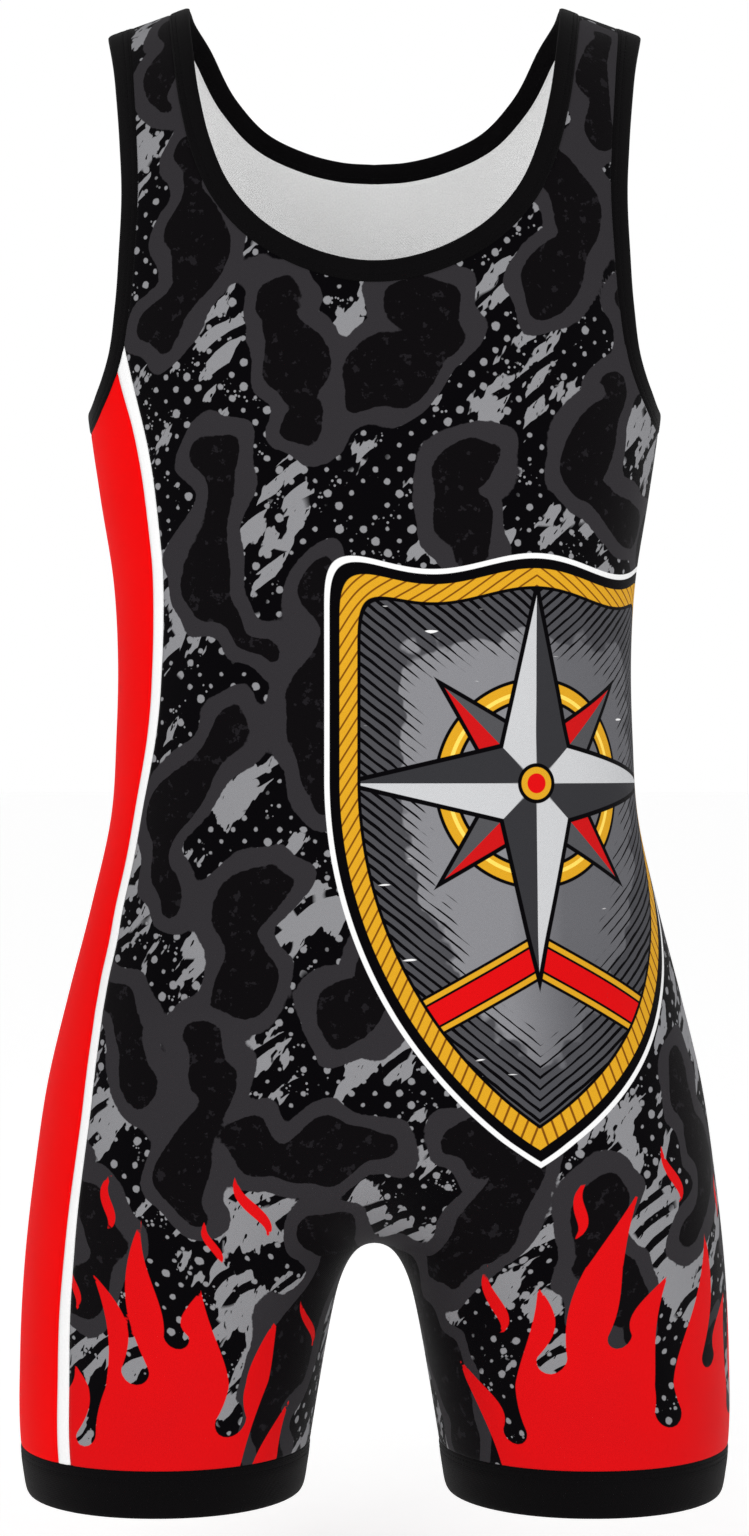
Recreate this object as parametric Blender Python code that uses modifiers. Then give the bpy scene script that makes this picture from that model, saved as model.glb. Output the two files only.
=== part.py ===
"""Wrestling singlet, worn and filled out, with nothing inside it.

The origin is between the shoulder straps at the height of their highest points. +Z is up, the
front faces -Y and the wearer's left is +X. Metres. A level is a distance below the origin.

The garment is cut as a front, a back, a side panel with a narrow stripe along its front edge on
the wearer's right, a neck binding, two armhole bindings and two hem bands. Each piece is a wall
laid on one form: a trunk that runs over the shoulders and blends into two legs. The lines that
two pieces share are worked out once, for the left or the right half, and both pieces use them.
"""

import functools
import math
from collections import namedtuple

import bmesh
import bpy
import numpy as np

# Cloth and sewing
PANEL_CLOTH = 0.0012
BINDING_CLOTH = 0.0022
SEAM_GAP = 0.0003
BINDING_WIDTH = 0.0110

# Levels where the yoke joins the body, and where the hem bands start and end
JOIN = 0.300
BAND_TOP = 0.7845
HEM = 0.8095

# Shoulders: how deep the straps' arch over the ridge is, and how the ridge slopes outwards
SHOULDER_RISE = 0.200
SHOULDER_SLOPE = 0.345
SLOPE_FADES_BY = 0.200
STRAP_INNER = 0.1015
STRAP_OUTER = 0.1460

# Between the legs: where the trunk starts to close, how tall its rounded end is, how softly trunk
# and legs run into each other, and over what height the legs grow out of the trunk
TRUNK_CLOSES = 0.590
TRUNK_END = 0.0780
BLEND = 0.012
LEGS_GROW_IN = 0.100

# The levels between which the cloth's extra length at the crotch is taken up near the middle
CALM_ABOVE = 0.610
CALM_BELOW = 0.740

# Where the lower yoke ends at the middle, on a line from the armhole, and a turn that lies well
# below both the neck and the armhole, on the cloth
CROSS_LEVEL = 0.200
LOW_TURN = 2.0

# How finely the form is followed: the points on a smooth line, the rays round half a section, and
# how close two points are that are one
LINE_POINTS = 161
SECTION_RAYS = 121
SAME_POINT = 0.00005

# Columns and rows of each mesh; a strap's columns lie at these shares of the way from the armhole
# to the neck, and its last row, at the ridge, is as short as this
UNDER_COLUMNS = 3
STRAP_SHARES = (0.0, 0.10, 0.38, 0.69, 1.0)
NECK_COLUMNS = 7
SIDE_COLUMNS = 6
YOKE_ROWS = 6
STRAP_ROWS = 9
RIDGE_ROW = 0.0035
ROW_HEIGHT = 0.0190
CROTCH_ROWS = (-0.036, -0.020, -0.010, -0.0035, 0.0, 0.004, 0.014)
BAND_ROWS = 2

# The sections of the form: half width, depths to the front and the back of the side line, and
# the power of the oval (2 is an ellipse, more is squarer)
Section = namedtuple("Section", "level half_width front back power")
SECTIONS = (
    Section(0.000, 0.1560, 0.105, 0.100, 2.5),
    Section(0.110, 0.1575, 0.105, 0.100, 2.5),
    Section(0.180, 0.1580, 0.106, 0.100, 2.5),
    Section(0.225, 0.1554, 0.106, 0.098, 2.5),
    Section(0.268, 0.1494, 0.104, 0.092, 2.5),
    Section(0.317, 0.1419, 0.101, 0.084, 2.45),
    Section(0.356, 0.1399, 0.099, 0.079, 2.4),
    Section(0.400, 0.1408, 0.098, 0.078, 2.4),
    Section(0.440, 0.1433, 0.098, 0.083, 2.4),
    Section(0.490, 0.1541, 0.099, 0.095, 2.4),
    Section(0.540, 0.1670, 0.100, 0.107, 2.4),
    Section(0.588, 0.1784, 0.099, 0.112, 2.4),
    Section(0.631, 0.1849, 0.097, 0.109, 2.4),
    Section(0.690, 0.1914, 0.092, 0.100, 2.4),
    Section(0.736, 0.1936, 0.087, 0.093, 2.4),
    Section(0.784, 0.1931, 0.083, 0.087, 2.4),
    Section(0.810, 0.1896, 0.080, 0.084, 2.4),
)

# How far the legs' inner sides lie from the middle of the body, and the power of their ovals
Leg = namedtuple("Leg", "level inner power")
LEGS = (
    Leg(0.500, 0.0300, 2.1),
    Leg(0.600, 0.0200, 2.1),
    Leg(0.650, 0.0175, 2.1),
    Leg(0.677, 0.0175, 2.1),
    Leg(0.702, 0.0222, 2.1),
    Leg(0.744, 0.0295, 2.1),
    Leg(0.784, 0.0360, 2.1),
    Leg(0.810, 0.0400, 2.1),
)

# The raw edges of the openings: how far from the middle of the body they lie, by level
Edge = namedtuple("Edge", "across level")
NECK_FRONT = (
    Edge(0.0000, 0.1554),
    Edge(0.0035, 0.1553),
    Edge(0.0214, 0.1523),
    Edge(0.0412, 0.1446),
    Edge(0.0610, 0.1309),
    Edge(0.0764, 0.1116),
    Edge(0.0862, 0.0880),
    Edge(0.0924, 0.0630),
    Edge(0.0975, 0.0300),
    Edge(0.1005, 0.0080),
    Edge(STRAP_INNER, 0.0000),
)
NECK_BACK = (
    Edge(0.0000, 0.0810),
    Edge(0.0178, 0.0783),
    Edge(0.0397, 0.0715),
    Edge(0.0619, 0.0596),
    Edge(0.0776, 0.0427),
    Edge(0.0920, 0.0160),
    Edge(0.0994, 0.0042),
    Edge(STRAP_INNER, 0.0000),
)
ARMHOLE = (
    Edge(STRAP_OUTER, 0.0000),
    Edge(0.1457, 0.0020),
    Edge(0.1394, 0.0408),
    Edge(0.1358, 0.0794),
    Edge(0.1342, 0.1078),
    Edge(0.1350, 0.1380),
    Edge(0.1372, 0.1710),
    Edge(0.1411, 0.1970),
    Edge(0.1449, 0.2078),
    Edge(0.1492, 0.2165),
)
ARMHOLE_BOTTOM = 0.2230

# Where the yoke turns into the strap: the levels at the armhole and at the neck, and the number
# of rows that the upper yoke has below that line
Turn = namedtuple("Turn", "armhole neck rows")
TURNS = {"front": Turn(0.125, 0.100, 4), "back": Turn(0.090, 0.055, 6)}

# How far round the body the side panel's edges lie from the side line, on the wearer's right,
# and how wide the stripe beside its front edge is; the first row is where they reach the armhole,
# which the stripe meets at a slant over the length of seam that follows
Side = namedtuple("Side", "level front back stripe")
SIDES = (
    Side(0.192, 0.0681, 0.0575, 0.0082),
    Side(0.212, 0.0732, 0.0590, 0.0084),
    Side(0.233, 0.0786, 0.0600, 0.0074),
    Side(0.262, 0.0805, 0.0600, 0.0075),
    Side(0.300, 0.0770, 0.0580, 0.0076),
    Side(0.348, 0.0705, 0.0540, 0.0076),
    Side(0.400, 0.0654, 0.0520, 0.0070),
    Side(0.440, 0.0577, 0.0524, 0.0068),
    Side(0.470, 0.0578, 0.0531, 0.0067),
    Side(0.500, 0.0588, 0.0547, 0.0068),
    Side(0.520, 0.0632, 0.0560, 0.0069),
    Side(0.545, 0.0709, 0.0581, 0.0069),
    Side(0.570, 0.0746, 0.0600, 0.0068),
    Side(0.623, 0.0775, 0.0620, 0.0067),
    Side(0.724, 0.0732, 0.0600, 0.0085),
    Side(0.810, 0.0700, 0.0580, 0.0086),
)
STRIPE_SLANT = 0.0150


def smooth(knots, values, at):
    """Cubic pieces between knots, each as steep at a knot as its neighbours are."""
    slopes = np.gradient(values, knots)
    at = np.clip(at, knots[0], knots[-1])
    i = np.clip(np.searchsorted(knots, at, side="right") - 1, 0, len(knots) - 2)
    step = knots[i + 1] - knots[i]
    f = (at - knots[i]) / step
    value = values[i] * (1 + 2 * f) * (1 - f) ** 2 + values[i + 1] * f * f * (3 - 2 * f)
    return value + step * (slopes[i] * f * (1 - f) ** 2 - slopes[i + 1] * f * f * (1 - f))


def through(rows, column, at):
    """The value of a table's column at any level, on a smooth curve through its rows."""
    knots = np.array([row[0] for row in rows])
    return smooth(knots, np.array([getattr(row, column) for row in rows]), at)


def runs_along(points):
    """The length of a line of points up to each of them."""
    return np.r_[0, np.cumsum(np.linalg.norm(np.diff(points, axis=0), axis=1))]


def dense(points):
    """A smooth curve through a few points in the plane, as many close ones."""
    knots = runs_along(points)
    at = np.linspace(0, knots[-1], LINE_POINTS)
    return np.stack([smooth(knots, points[:, k], at) for k in (0, 1)], axis=1)


# The yoke's form, above the join. A chart point is (around, turn): around is 0 at the middle of
# the front, a right angle at the side and a half turn at the middle of the back, and turn is 0 on
# the ridge of the shoulders and grows down the front and the back alike.


def level_of(turn):
    """The level that a turn reaches: a quarter round over the shoulder, then straight down."""
    quarter = math.pi / 2
    rounded = 1 - np.cos(np.minimum(turn, quarter))
    return SHOULDER_RISE * (rounded + np.maximum(turn - quarter, 0))


def turn_of(level):
    """The turn that reaches a level."""
    past = np.maximum(level / SHOULDER_RISE - 1, 0)
    return np.arccos(np.clip(1 - level / SHOULDER_RISE, 0, 1)) + past


def around_of(across, level, face):
    """The angle round the form of a point of the front or the back, by its distance across."""
    power = through(SECTIONS, "power", level)
    share = np.clip(across / through(SECTIONS, "half_width", level), 0, 1)
    angle = np.arctan2(share, (1 - share**power) ** (1 / power))
    return angle if face == "front" else math.pi - angle


def on_yoke(chart):
    """Chart points placed in space, on the wearer's left."""
    around, turn = np.moveaxis(chart, -1, 0)
    level = level_of(turn)
    power = through(SECTIONS, "power", level)
    sine = np.sin(around)
    cosine = np.cos(around)
    norm = (np.abs(sine) ** power + np.abs(cosine) ** power) ** (1 / power)
    ahead = through(SECTIONS, "front", level)
    behind = through(SECTIONS, "back", level)
    depth = np.where(cosine > 0, ahead, behind) * np.sin(np.minimum(turn, math.pi / 2))
    x = through(SECTIONS, "half_width", level) * sine / norm
    fade = np.clip(1 - level / SLOPE_FADES_BY, 0, 1) ** 2
    z = SHOULDER_SLOPE * (STRAP_INNER - np.abs(x)) * fade - level
    return np.stack([x, -depth * cosine / norm, z], axis=-1)


def charted(points):
    """The chart points of points in space on the join."""
    half = through(SECTIONS, "half_width", JOIN)
    ahead = through(SECTIONS, "front", JOIN)
    behind = through(SECTIONS, "back", JOIN)
    depth = np.where(points[:, 1] < 0, ahead, behind)
    around = np.arctan2(points[:, 0] / half, -points[:, 1] / depth)
    return np.stack([around, np.full(len(points), float(turn_of(JOIN)))], axis=1)


def round_from_side(run, level, face):
    """The chart point at a level that lies a run of cloth from the side line."""
    around = np.linspace(math.pi / 2, 0 if face == "front" else math.pi, LINE_POINTS)
    turn = float(turn_of(level))
    runs = runs_along(on_yoke(np.stack([around, np.full(LINE_POINTS, turn)], axis=1)))
    return np.interp(run, runs, around), turn


def raw_edge(rows, face):
    """A dense raw edge of the front or the back as chart points, from its table."""
    across = np.array([row.across for row in rows])
    level = np.array([row.level for row in rows])
    chart = np.stack([around_of(across, level, face), turn_of(level)], axis=1)
    if rows is ARMHOLE:
        chart = np.vstack([chart, (math.pi / 2, turn_of(ARMHOLE_BOTTOM))])
    return dense(chart)


def beside(chart, width, cloth):
    """The line that runs at a width beside an edge, on the side where the cloth lies."""
    step = 1e-4
    above = np.stack([chart[:, 0], np.maximum(chart[:, 1] - step, 0)], axis=1)
    below = chart + (0, step)
    by_around = (on_yoke(chart + (step, 0)) - on_yoke(chart - (step, 0))) / (2 * step)
    by_turn = (on_yoke(below) - on_yoke(above)) / (below - above)[:, 1:]
    e = (by_around**2).sum(1)
    f = (by_around * by_turn).sum(1)
    g = (by_turn**2).sum(1)
    a, t = np.gradient(chart, axis=0).T
    p, q = -(f * a + g * t), e * a + f * t
    length = np.sqrt(e * p * p + 2 * f * p * q + g * q * q)
    square = np.stack([p, q], axis=1) / length[:, None]
    middle = len(chart) // 2
    sign = math.copysign(1, square[middle] @ (np.array(cloth) - chart[middle]))
    return chart + sign * width * square


def at_places(chart, places):
    """The chart points of a dense line at the given places, which are indices into it."""
    index = np.arange(len(chart))
    return np.stack([np.interp(places, index, chart[:, k]) for k in (0, 1)], axis=1)


def place_at(chart, level):
    """The place where a dense line passes a level."""
    passed = level_of(chart[:, 1])
    order = np.argsort(passed)
    return float(np.interp(level, passed[order], order))


def even_places(chart, start, end, count):
    """The places that part a stretch of a dense line into equal lengths of cloth."""
    runs = runs_along(on_yoke(chart))
    index = np.arange(len(runs))
    wanted = np.linspace(*np.interp([start, end], index, runs), count + 1)
    return np.interp(wanted, runs, index)


def short_at_end(chart, places, run):
    """The places of a dense line with one more, a short run of cloth before the last."""
    runs = runs_along(on_yoke(chart))
    index = np.arange(len(runs))
    before, last = np.interp(places[-2:], index, runs)
    more = last + math.copysign(run, before - last)
    return np.insert(places, -1, np.interp(more, runs, index))


def between(first, last):
    """Points between two chart points or two lines of them, at the strap's shares."""
    shares = np.array(STRAP_SHARES)[:, None]
    return first[..., None, :] * (1 - shares) + last[..., None, :] * shares


def patch(bottom, top, first, last):
    """Chart points between four lines that share their corners, in rows from bottom to top."""
    v = np.linspace(0, 1, len(first))[:, None, None]
    u = np.linspace(0, 1, len(bottom))[None, :, None]
    low = (1 - u) * bottom[0] + u * bottom[-1]
    high = (1 - u) * top[0] + u * top[-1]
    ruled = (1 - v) * (bottom - low) + v * (top - high)
    return ruled + (1 - u) * first[:, None] + u * last[:, None]


# The body's form, below the join


def outside(x, y, level):
    """How far a point lies outside the blended trunk and legs, below zero inside them."""
    half = through(SECTIONS, "half_width", level)
    power = through(SECTIONS, "power", level)
    ahead = through(SECTIONS, "front", level)
    behind = through(SECTIONS, "back", level)
    depth = np.where(y < 0, ahead, behind)
    flat = ((np.abs(x) / half) ** power + (np.abs(y) / depth) ** power) ** (2 / power)
    sunk = np.maximum(level - TRUNK_CLOSES, 0) / TRUNK_END
    felt = np.exp(-(np.sqrt(flat + sunk**2) - 1) * TRUNK_END / BLEND)
    grown = np.clip((level - LEGS[0].level) / LEGS_GROW_IN, 0, 1)
    grown = grown * grown * (3 - 2 * grown)
    inner = through(LEGS, "inner", level)
    power = through(LEGS, "power", level)
    centre = (half + inner) / 2
    reach = (half - inner) / 2
    for side in (1, -1):
        oval = (np.abs(side * x - centre) / reach) ** power + (np.abs(y) / depth) ** power
        felt = felt + grown * np.exp(-(oval ** (1 / power) - 1) * reach / BLEND)
    return -BLEND * np.log(felt)


def root(function, low, high, rounds=30):
    """Where a function of arrays passes from below zero at low to above zero at high."""
    for _ in range(rounds):
        middle = (low + high) / 2
        inside = function(middle) < 0
        low = np.where(inside, middle, low)
        high = np.where(inside, high, middle)
    return (low + high) / 2


@functools.lru_cache(maxsize=None)
def half_section(level):
    """The left half of the form's outline at a level, as its front line and its back line.

    Each runs from the side line to the middle of the body or, below the crotch, to the leg's
    inner side. Rays from a point inside the half, a little nearer the side than the middle,
    find it.
    """
    half = float(through(SECTIONS, "half_width", level))
    centre = 0.55 * half
    farthest = 2 * half
    angle = np.linspace(0, math.pi, SECTION_RAYS)
    x_step = np.cos(angle)
    x_step[-1] = -1
    limit = np.minimum(centre / np.maximum(-x_step, 1e-6), farthest)
    lines = {}
    for face, way in (("front", -1), ("back", 1)):
        y_step = way * np.sin(angle)
        y_step[-1] = 0
        closes = outside(centre + limit * x_step, limit * y_step, level) > 0
        nowhere = np.zeros(SECTION_RAYS)
        reach = root(lambda r: outside(centre + r * x_step, r * y_step, level), nowhere, limit)
        line = np.stack([centre + reach * x_step, reach * y_step], axis=1)[closes]
        if not closes[-1]:
            depth = float(root(lambda d: outside(0.0, way * d, level), 0.0, farthest))
            line = np.vstack([line, (0.0, way * depth)])
        wanted = float(through(SECTIONS, face, level))
        lines[face] = line * (half / line[0, 0], wanted / np.abs(line[:, 1]).max())
    return lines


@functools.lru_cache(maxsize=None)
def crotch():
    """The level where the form closes between the legs."""
    return float(root(lambda level: outside(0.0, 0.0, level), TRUNK_CLOSES, BAND_TOP))


def calm_length(face, level):
    """The length that a half section would have if the body didn't dip between the legs."""
    share = (level - CALM_ABOVE) / (CALM_BELOW - CALM_ABOVE)
    if not 0 < share < 1:
        return runs_along(half_section(level)[face])[-1]
    above, below = (runs_along(half_section(at)[face])[-1] for at in (CALM_ABOVE, CALM_BELOW))
    return above + (below - above) * share * share * (3 - 2 * share)


def columns_of(side):
    """The number of columns of the front or the back on one side of the middle."""
    under = UNDER_COLUMNS if side == "left" else 0
    return under + len(STRAP_SHARES) - 1 + NECK_COLUMNS


def body_levels():
    """The levels of the rows from the join to the hem bands, crowded at the crotch."""
    crowd = [crotch() + offset for offset in CROTCH_ROWS]
    above = np.linspace(JOIN, crowd[0], 1 + round((crowd[0] - JOIN) / ROW_HEIGHT))
    below = np.linspace(crowd[-1], BAND_TOP, 1 + round((BAND_TOP - crowd[-1]) / ROW_HEIGHT))
    return [float(level) for level in (*above[:-1], *crowd, *below[1:])]


def band_levels():
    """The levels of the rows of a hem band."""
    return [float(level) for level in np.linspace(BAND_TOP, HEM, BAND_ROWS + 1)]


def stations(face, runs, level):
    """Points of the front or the back line at a level, at given runs from the side line."""
    line = half_section(level)[face]
    lengths = runs_along(line)
    x, y = (np.interp(runs, lengths, line[:, k]) for k in (0, 1))
    return np.stack([x, y, np.full(len(x), -level)], axis=1)


def side_run(edge, level):
    """How far from the side line one of the side panel's or the stripe's edges lies."""
    run = through(SIDES, "back" if edge == "back" else "front", level)
    return float(run + (through(SIDES, "stripe", level) if edge == "stripe" else 0))


def body_row(piece, side, level):
    """One piece's points at a level below the join, on the wearer's left.

    The front and the back run from their side seam to the middle, the stripe from the front to
    the side panel, and the side panel from the stripe to the back.
    """
    if piece == "stripe":
        runs = np.array([side_run("stripe", level), side_run("front", level)])
        return stations("front", runs, level)
    if piece == "side":
        runs = np.linspace(side_run("front", level), -side_run("back", level), SIDE_COLUMNS + 1)
        ahead = stations("front", np.maximum(runs, 0), level)
        behind = stations("back", np.maximum(-runs, 0), level)
        return np.where(runs[:, None] > 0, ahead, behind)
    start = 0.0
    if side == "right":
        start = side_run("stripe" if piece == "front" else "back", level)
    calm = calm_length(piece, level)
    extra = runs_along(half_section(level)[piece])[-1] - calm
    u = np.linspace(0, 1, columns_of(side) + 1)
    return stations(piece, start + (calm - start) * u + extra * u**5, level)


def body_grid(piece, side, levels):
    """A piece's rows of points at the given levels, on the wearer's left."""
    return np.array([body_row(piece, side, level) for level in levels])


class Yoke:
    """The lines and grids of the front or the back above the join, on one side of the middle.

    The lower yoke ends under the armhole and at a line across from its corner, the upper yoke
    at the line where the strap turns off and at the neck, and the strap at the ridge.
    """

    def __init__(self, face, side):
        self.face = face
        self.side = side
        middle = 0.0 if face == "front" else math.pi
        self.neck = raw_edge(NECK_FRONT if face == "front" else NECK_BACK, face)
        self.neck_seam = beside(self.neck, BINDING_WIDTH, (math.pi / 2, LOW_TURN))
        self.neck_seam[0, 0] = middle
        self.neck_seam[-1] = (around_of(STRAP_INNER + BINDING_WIDTH, 0.0, face), 0.0)
        self.arm = raw_edge(ARMHOLE, face)
        self.arm_seam = beside(self.arm, BINDING_WIDTH, (middle, LOW_TURN))
        self.arm_seam[0] = (around_of(STRAP_OUTER - BINDING_WIDTH, 0.0, face), 0.0)
        self.arm_seam[-1, 0] = math.pi / 2
        self.end = float(len(self.arm) - 1)
        self.corner = place_at(self.arm_seam, SIDES[0].level)
        turn = place_at(self.neck_seam, TURNS[face].neck)
        self.neck_low = even_places(self.neck_seam, turn, 0, NECK_COLUMNS)
        rows = even_places(self.neck_seam, turn, self.end, STRAP_ROWS)
        self.neck_high = short_at_end(self.neck_seam, rows, RIDGE_ROW)
        turn = place_at(self.arm_seam, TURNS[face].armhole)
        rows = even_places(self.arm_seam, turn, 0, STRAP_ROWS)
        self.arm_high = short_at_end(self.arm_seam, rows, RIDGE_ROW)
        self.arm_middle = even_places(self.arm_seam, self.corner, turn, TURNS[face].rows)
        self.arm_low = np.array([self.corner])
        if side == "left":
            self.arm_low = even_places(self.arm_seam, self.end, self.corner, UNDER_COLUMNS)

    def side_seam(self):
        """The side edge from the join up to the armhole binding."""
        top = at_places(self.arm_seam, self.arm_low[:1])[0]
        if self.side == "left":
            start = charted(body_row(self.face, self.side, JOIN))[0]
            return np.linspace(start, top, YOKE_ROWS + 1)
        return side_line("stripe" if self.face == "front" else "back", self.face, top)

    def grids(self):
        """The points above the join, of the lower yoke, the upper yoke and the strap."""
        join = body_row(self.face, self.side, JOIN)
        start = charted(join)
        under = at_places(self.arm_seam, self.arm_low)
        armhole = at_places(self.arm_seam, self.arm_middle)
        neck = at_places(self.neck_seam, self.neck_low)
        middle = (start[-1, 0], float(turn_of(CROSS_LEVEL)))
        cross = np.linspace(under[-1], middle, columns_of("right") + 1)
        rising = np.linspace(start[-1], middle, YOKE_ROWS + 1)
        low = patch(start, np.vstack([under[:-1], cross]), self.side_seam(), rising)
        top = np.vstack([between(armhole[-1], neck[0]), neck[1:]])
        high = patch(cross, top, armhole, np.linspace(middle, neck[-1], len(armhole)))
        outer = at_places(self.arm_seam, self.arm_high)
        inner = at_places(self.neck_seam, self.neck_high)
        grids = [on_yoke(chart) for chart in (low, high, between(outer, inner))]
        grids[0][0] = join
        return grids

    def neck_binding(self):
        """The neck binding's raw edge and seam edge, from the middle to the ridge."""
        return strip(self.neck, self.neck_seam, np.r_[self.neck_low[::-1], self.neck_high[1:]])

    def armhole_binding(self, panel_places):
        """The armhole binding's raw edge and seam edge, from the ridge to the side line.

        panel_places are those of the side panel, if it comes between this piece and that line.
        """
        upper = np.r_[self.arm_high[::-1], self.arm_middle[-2::-1]]
        places = np.r_[upper, self.arm_low[-2::-1] if self.side == "left" else [], panel_places]
        return strip(self.arm, self.arm_seam, places)


def strip(edge, seam, places):
    """A grid two points wide between an edge and its seam."""
    return np.stack([on_yoke(at_places(line, places)) for line in (edge, seam)], axis=1)


def side_line(edge, face, top):
    """One of the side panel's or the stripe's edges, from the join up to its top at the armhole."""
    levels = np.linspace(JOIN, float(level_of(top[1])), YOKE_ROWS + 1)
    line = np.array([round_from_side(side_run(edge, level), level, face) for level in levels])
    return line + np.linspace(0, 1, YOKE_ROWS + 1)[:, None] ** 2 * (top - line[-1])


class SideTop:
    """The side panel and the stripe above the join, on the wearer's right."""

    def __init__(self, ahead, behind):
        self.ahead = ahead
        self.behind = behind
        runs = runs_along(on_yoke(ahead.arm_seam))
        index = np.arange(len(runs))
        corner = np.interp(ahead.corner, index, runs) + STRIPE_SLANT
        half = SIDE_COLUMNS // 2
        self.places = {
            "front": even_places(ahead.arm_seam, np.interp(corner, runs, index), ahead.end, half),
            "back": even_places(behind.arm_seam, behind.corner, behind.end, half),
        }
        self.front_top = at_places(ahead.arm_seam, self.places["front"])
        self.back_top = at_places(behind.arm_seam, self.places["back"])

    def panel(self):
        """The side panel's points above the join."""
        join = body_row("side", "right", JOIN)
        top = np.vstack([self.front_top, self.back_top[-2::-1]])
        first = side_line("front", "front", self.front_top[0])
        last = side_line("back", "back", self.back_top[0])
        grid = on_yoke(patch(charted(join), top, first, last))
        grid[0] = join
        return grid

    def stripe(self):
        """The stripe's points above the join."""
        seams = [self.ahead.side_seam(), side_line("front", "front", self.front_top[0])]
        grid = on_yoke(np.stack(seams, axis=1))
        grid[0] = body_row("stripe", "right", JOIN)
        return grid


def placed(grids, side):
    """Grids made on the wearer's left, moved to their side."""
    return [grid * (1 if side == "left" else -1, 1, 1) for grid in grids]


def outwards(point):
    """A direction out of the garment near a point: away from the trunk's or a leg's middle."""
    direction = point.copy()
    direction.z = 0
    if -point.z > crotch():
        direction.x -= math.copysign((SECTIONS[-1].half_width + LEGS[-1].inner) / 2, point.x)
    return direction


def into_cloth(vert):
    """The move of an edge point that draws both its edges into the cloth by one unit."""
    pulls = []
    for edge in vert.link_edges:
        if edge.is_boundary:
            face = edge.link_faces[0]
            pull = face.normal.cross(edge.verts[1].co - edge.verts[0].co).normalized()
            if pull.dot(face.calc_center_median() - edge.verts[0].co) < 0:
                pull.negate()
            pulls.append(pull)
    total = (pulls[0] + pulls[1]).normalized()
    return total / max(total.dot(pulls[0]), 0.5)


def sewn(grids):
    """One surface of quads from grids of points, facing out and drawn in at its edges."""
    net = bmesh.new()
    for grid in grids:
        points = [[net.verts.new(point) for point in line] for line in grid.tolist()]
        for line, after in zip(points, points[1:]):
            for a, b, c, d in zip(line, line[1:], after[1:], after):
                net.faces.new((a, b, c, d))
    bmesh.ops.remove_doubles(net, verts=net.verts, dist=SAME_POINT)
    bmesh.ops.recalc_face_normals(net, faces=net.faces)
    facing = sum(face.normal.dot(outwards(face.calc_center_median())) for face in net.faces)
    if facing < 0:
        bmesh.ops.reverse_faces(net, faces=net.faces)
    moves = {vert: into_cloth(vert) * SEAM_GAP / 2 for vert in net.verts if vert.is_boundary}
    for vert, move in moves.items():
        vert.co += move
    return net


def add_piece(name, grids, thickness, collection, material):
    """Adds a named piece: its surface, thickened evenly to both sides."""
    mesh = bpy.data.meshes.new(name)
    net = sewn(grids)
    net.to_mesh(mesh)
    net.free()
    mesh.materials.append(material)
    mesh.shade_smooth()
    piece = bpy.data.objects.new(name, mesh)
    collection.objects.link(piece)
    wall = piece.modifiers.new("Cloth", "SOLIDIFY")
    wall.thickness = thickness
    wall.offset = 0.0


def cloth_material(name, colour, roughness):
    """A cloth's material."""
    material = bpy.data.materials.new(name)
    material.use_nodes = True
    shader = material.node_tree.nodes["Principled BSDF"]
    shader.inputs["Base Color"].default_value = (*colour, 1.0)
    shader.inputs["Roughness"].default_value = roughness
    shader.inputs["Metallic"].default_value = 0.0
    return material


def build():
    """Makes every piece of the singlet."""
    for thing in list(bpy.data.objects):
        bpy.data.objects.remove(thing)
    collection = bpy.data.collections.new("wrestling_singlet")
    bpy.context.scene.collection.children.link(collection)
    printed = cloth_material("printed_knit", (0.055, 0.055, 0.060), 0.62)
    red = cloth_material("red_knit", (0.80, 0.012, 0.014), 0.60)
    white = cloth_material("white_knit", (0.85, 0.85, 0.85), 0.60)
    black = cloth_material("black_binding", (0.010, 0.010, 0.011), 0.65)

    sides = ("left", "right")
    levels = body_levels()
    yokes = {(face, side): Yoke(face, side) for face in ("front", "back") for side in sides}
    top = SideTop(yokes["front", "right"], yokes["back", "right"])

    for face in ("front", "back"):
        grids = []
        for side in sides:
            grids += placed([body_grid(face, side, levels), *yokes[face, side].grids()], side)
        add_piece(face, grids, PANEL_CLOTH, collection, printed)

    panel = [body_grid("side", "right", levels), top.panel()]
    add_piece("side_panel", placed(panel, "right"), PANEL_CLOTH, collection, red)
    stripe = [body_grid("stripe", "right", levels), top.stripe()]
    add_piece("side_stripe", placed(stripe, "right"), PANEL_CLOTH, collection, white)

    neck = []
    for (_, side), yoke in yokes.items():
        neck += placed([yoke.neck_binding()], side)
    add_piece("neck_binding", neck, BINDING_CLOTH, collection, black)

    for side in sides:
        ring = []
        for face in ("front", "back"):
            skip = 0 if face == "front" else 1
            more = top.places[face][skip:] if side == "right" else []
            ring.append(yokes[face, side].armhole_binding(more))
        add_piece("armhole_binding_" + side, placed(ring, side), BINDING_CLOTH, collection, black)

        pieces = ("front", "back") if side == "left" else ("front", "back", "stripe", "side")
        band = [body_grid(piece, side, band_levels()) for piece in pieces]
        add_piece("hem_band_" + side, placed(band, side), BINDING_CLOTH, collection, black)


build()
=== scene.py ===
"""Wrestling singlet, worn and filled out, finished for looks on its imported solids.

The pieces follow one another as they are cut and sewn: front, back, side panel and stripe, neck
and armhole bindings, leg bands, stitches, and last the studio. Metres. +Z is up, the front faces
-Y and the wearer's left is +X. A level is a distance below the origin.
"""

import functools
import math
from collections import namedtuple

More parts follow.
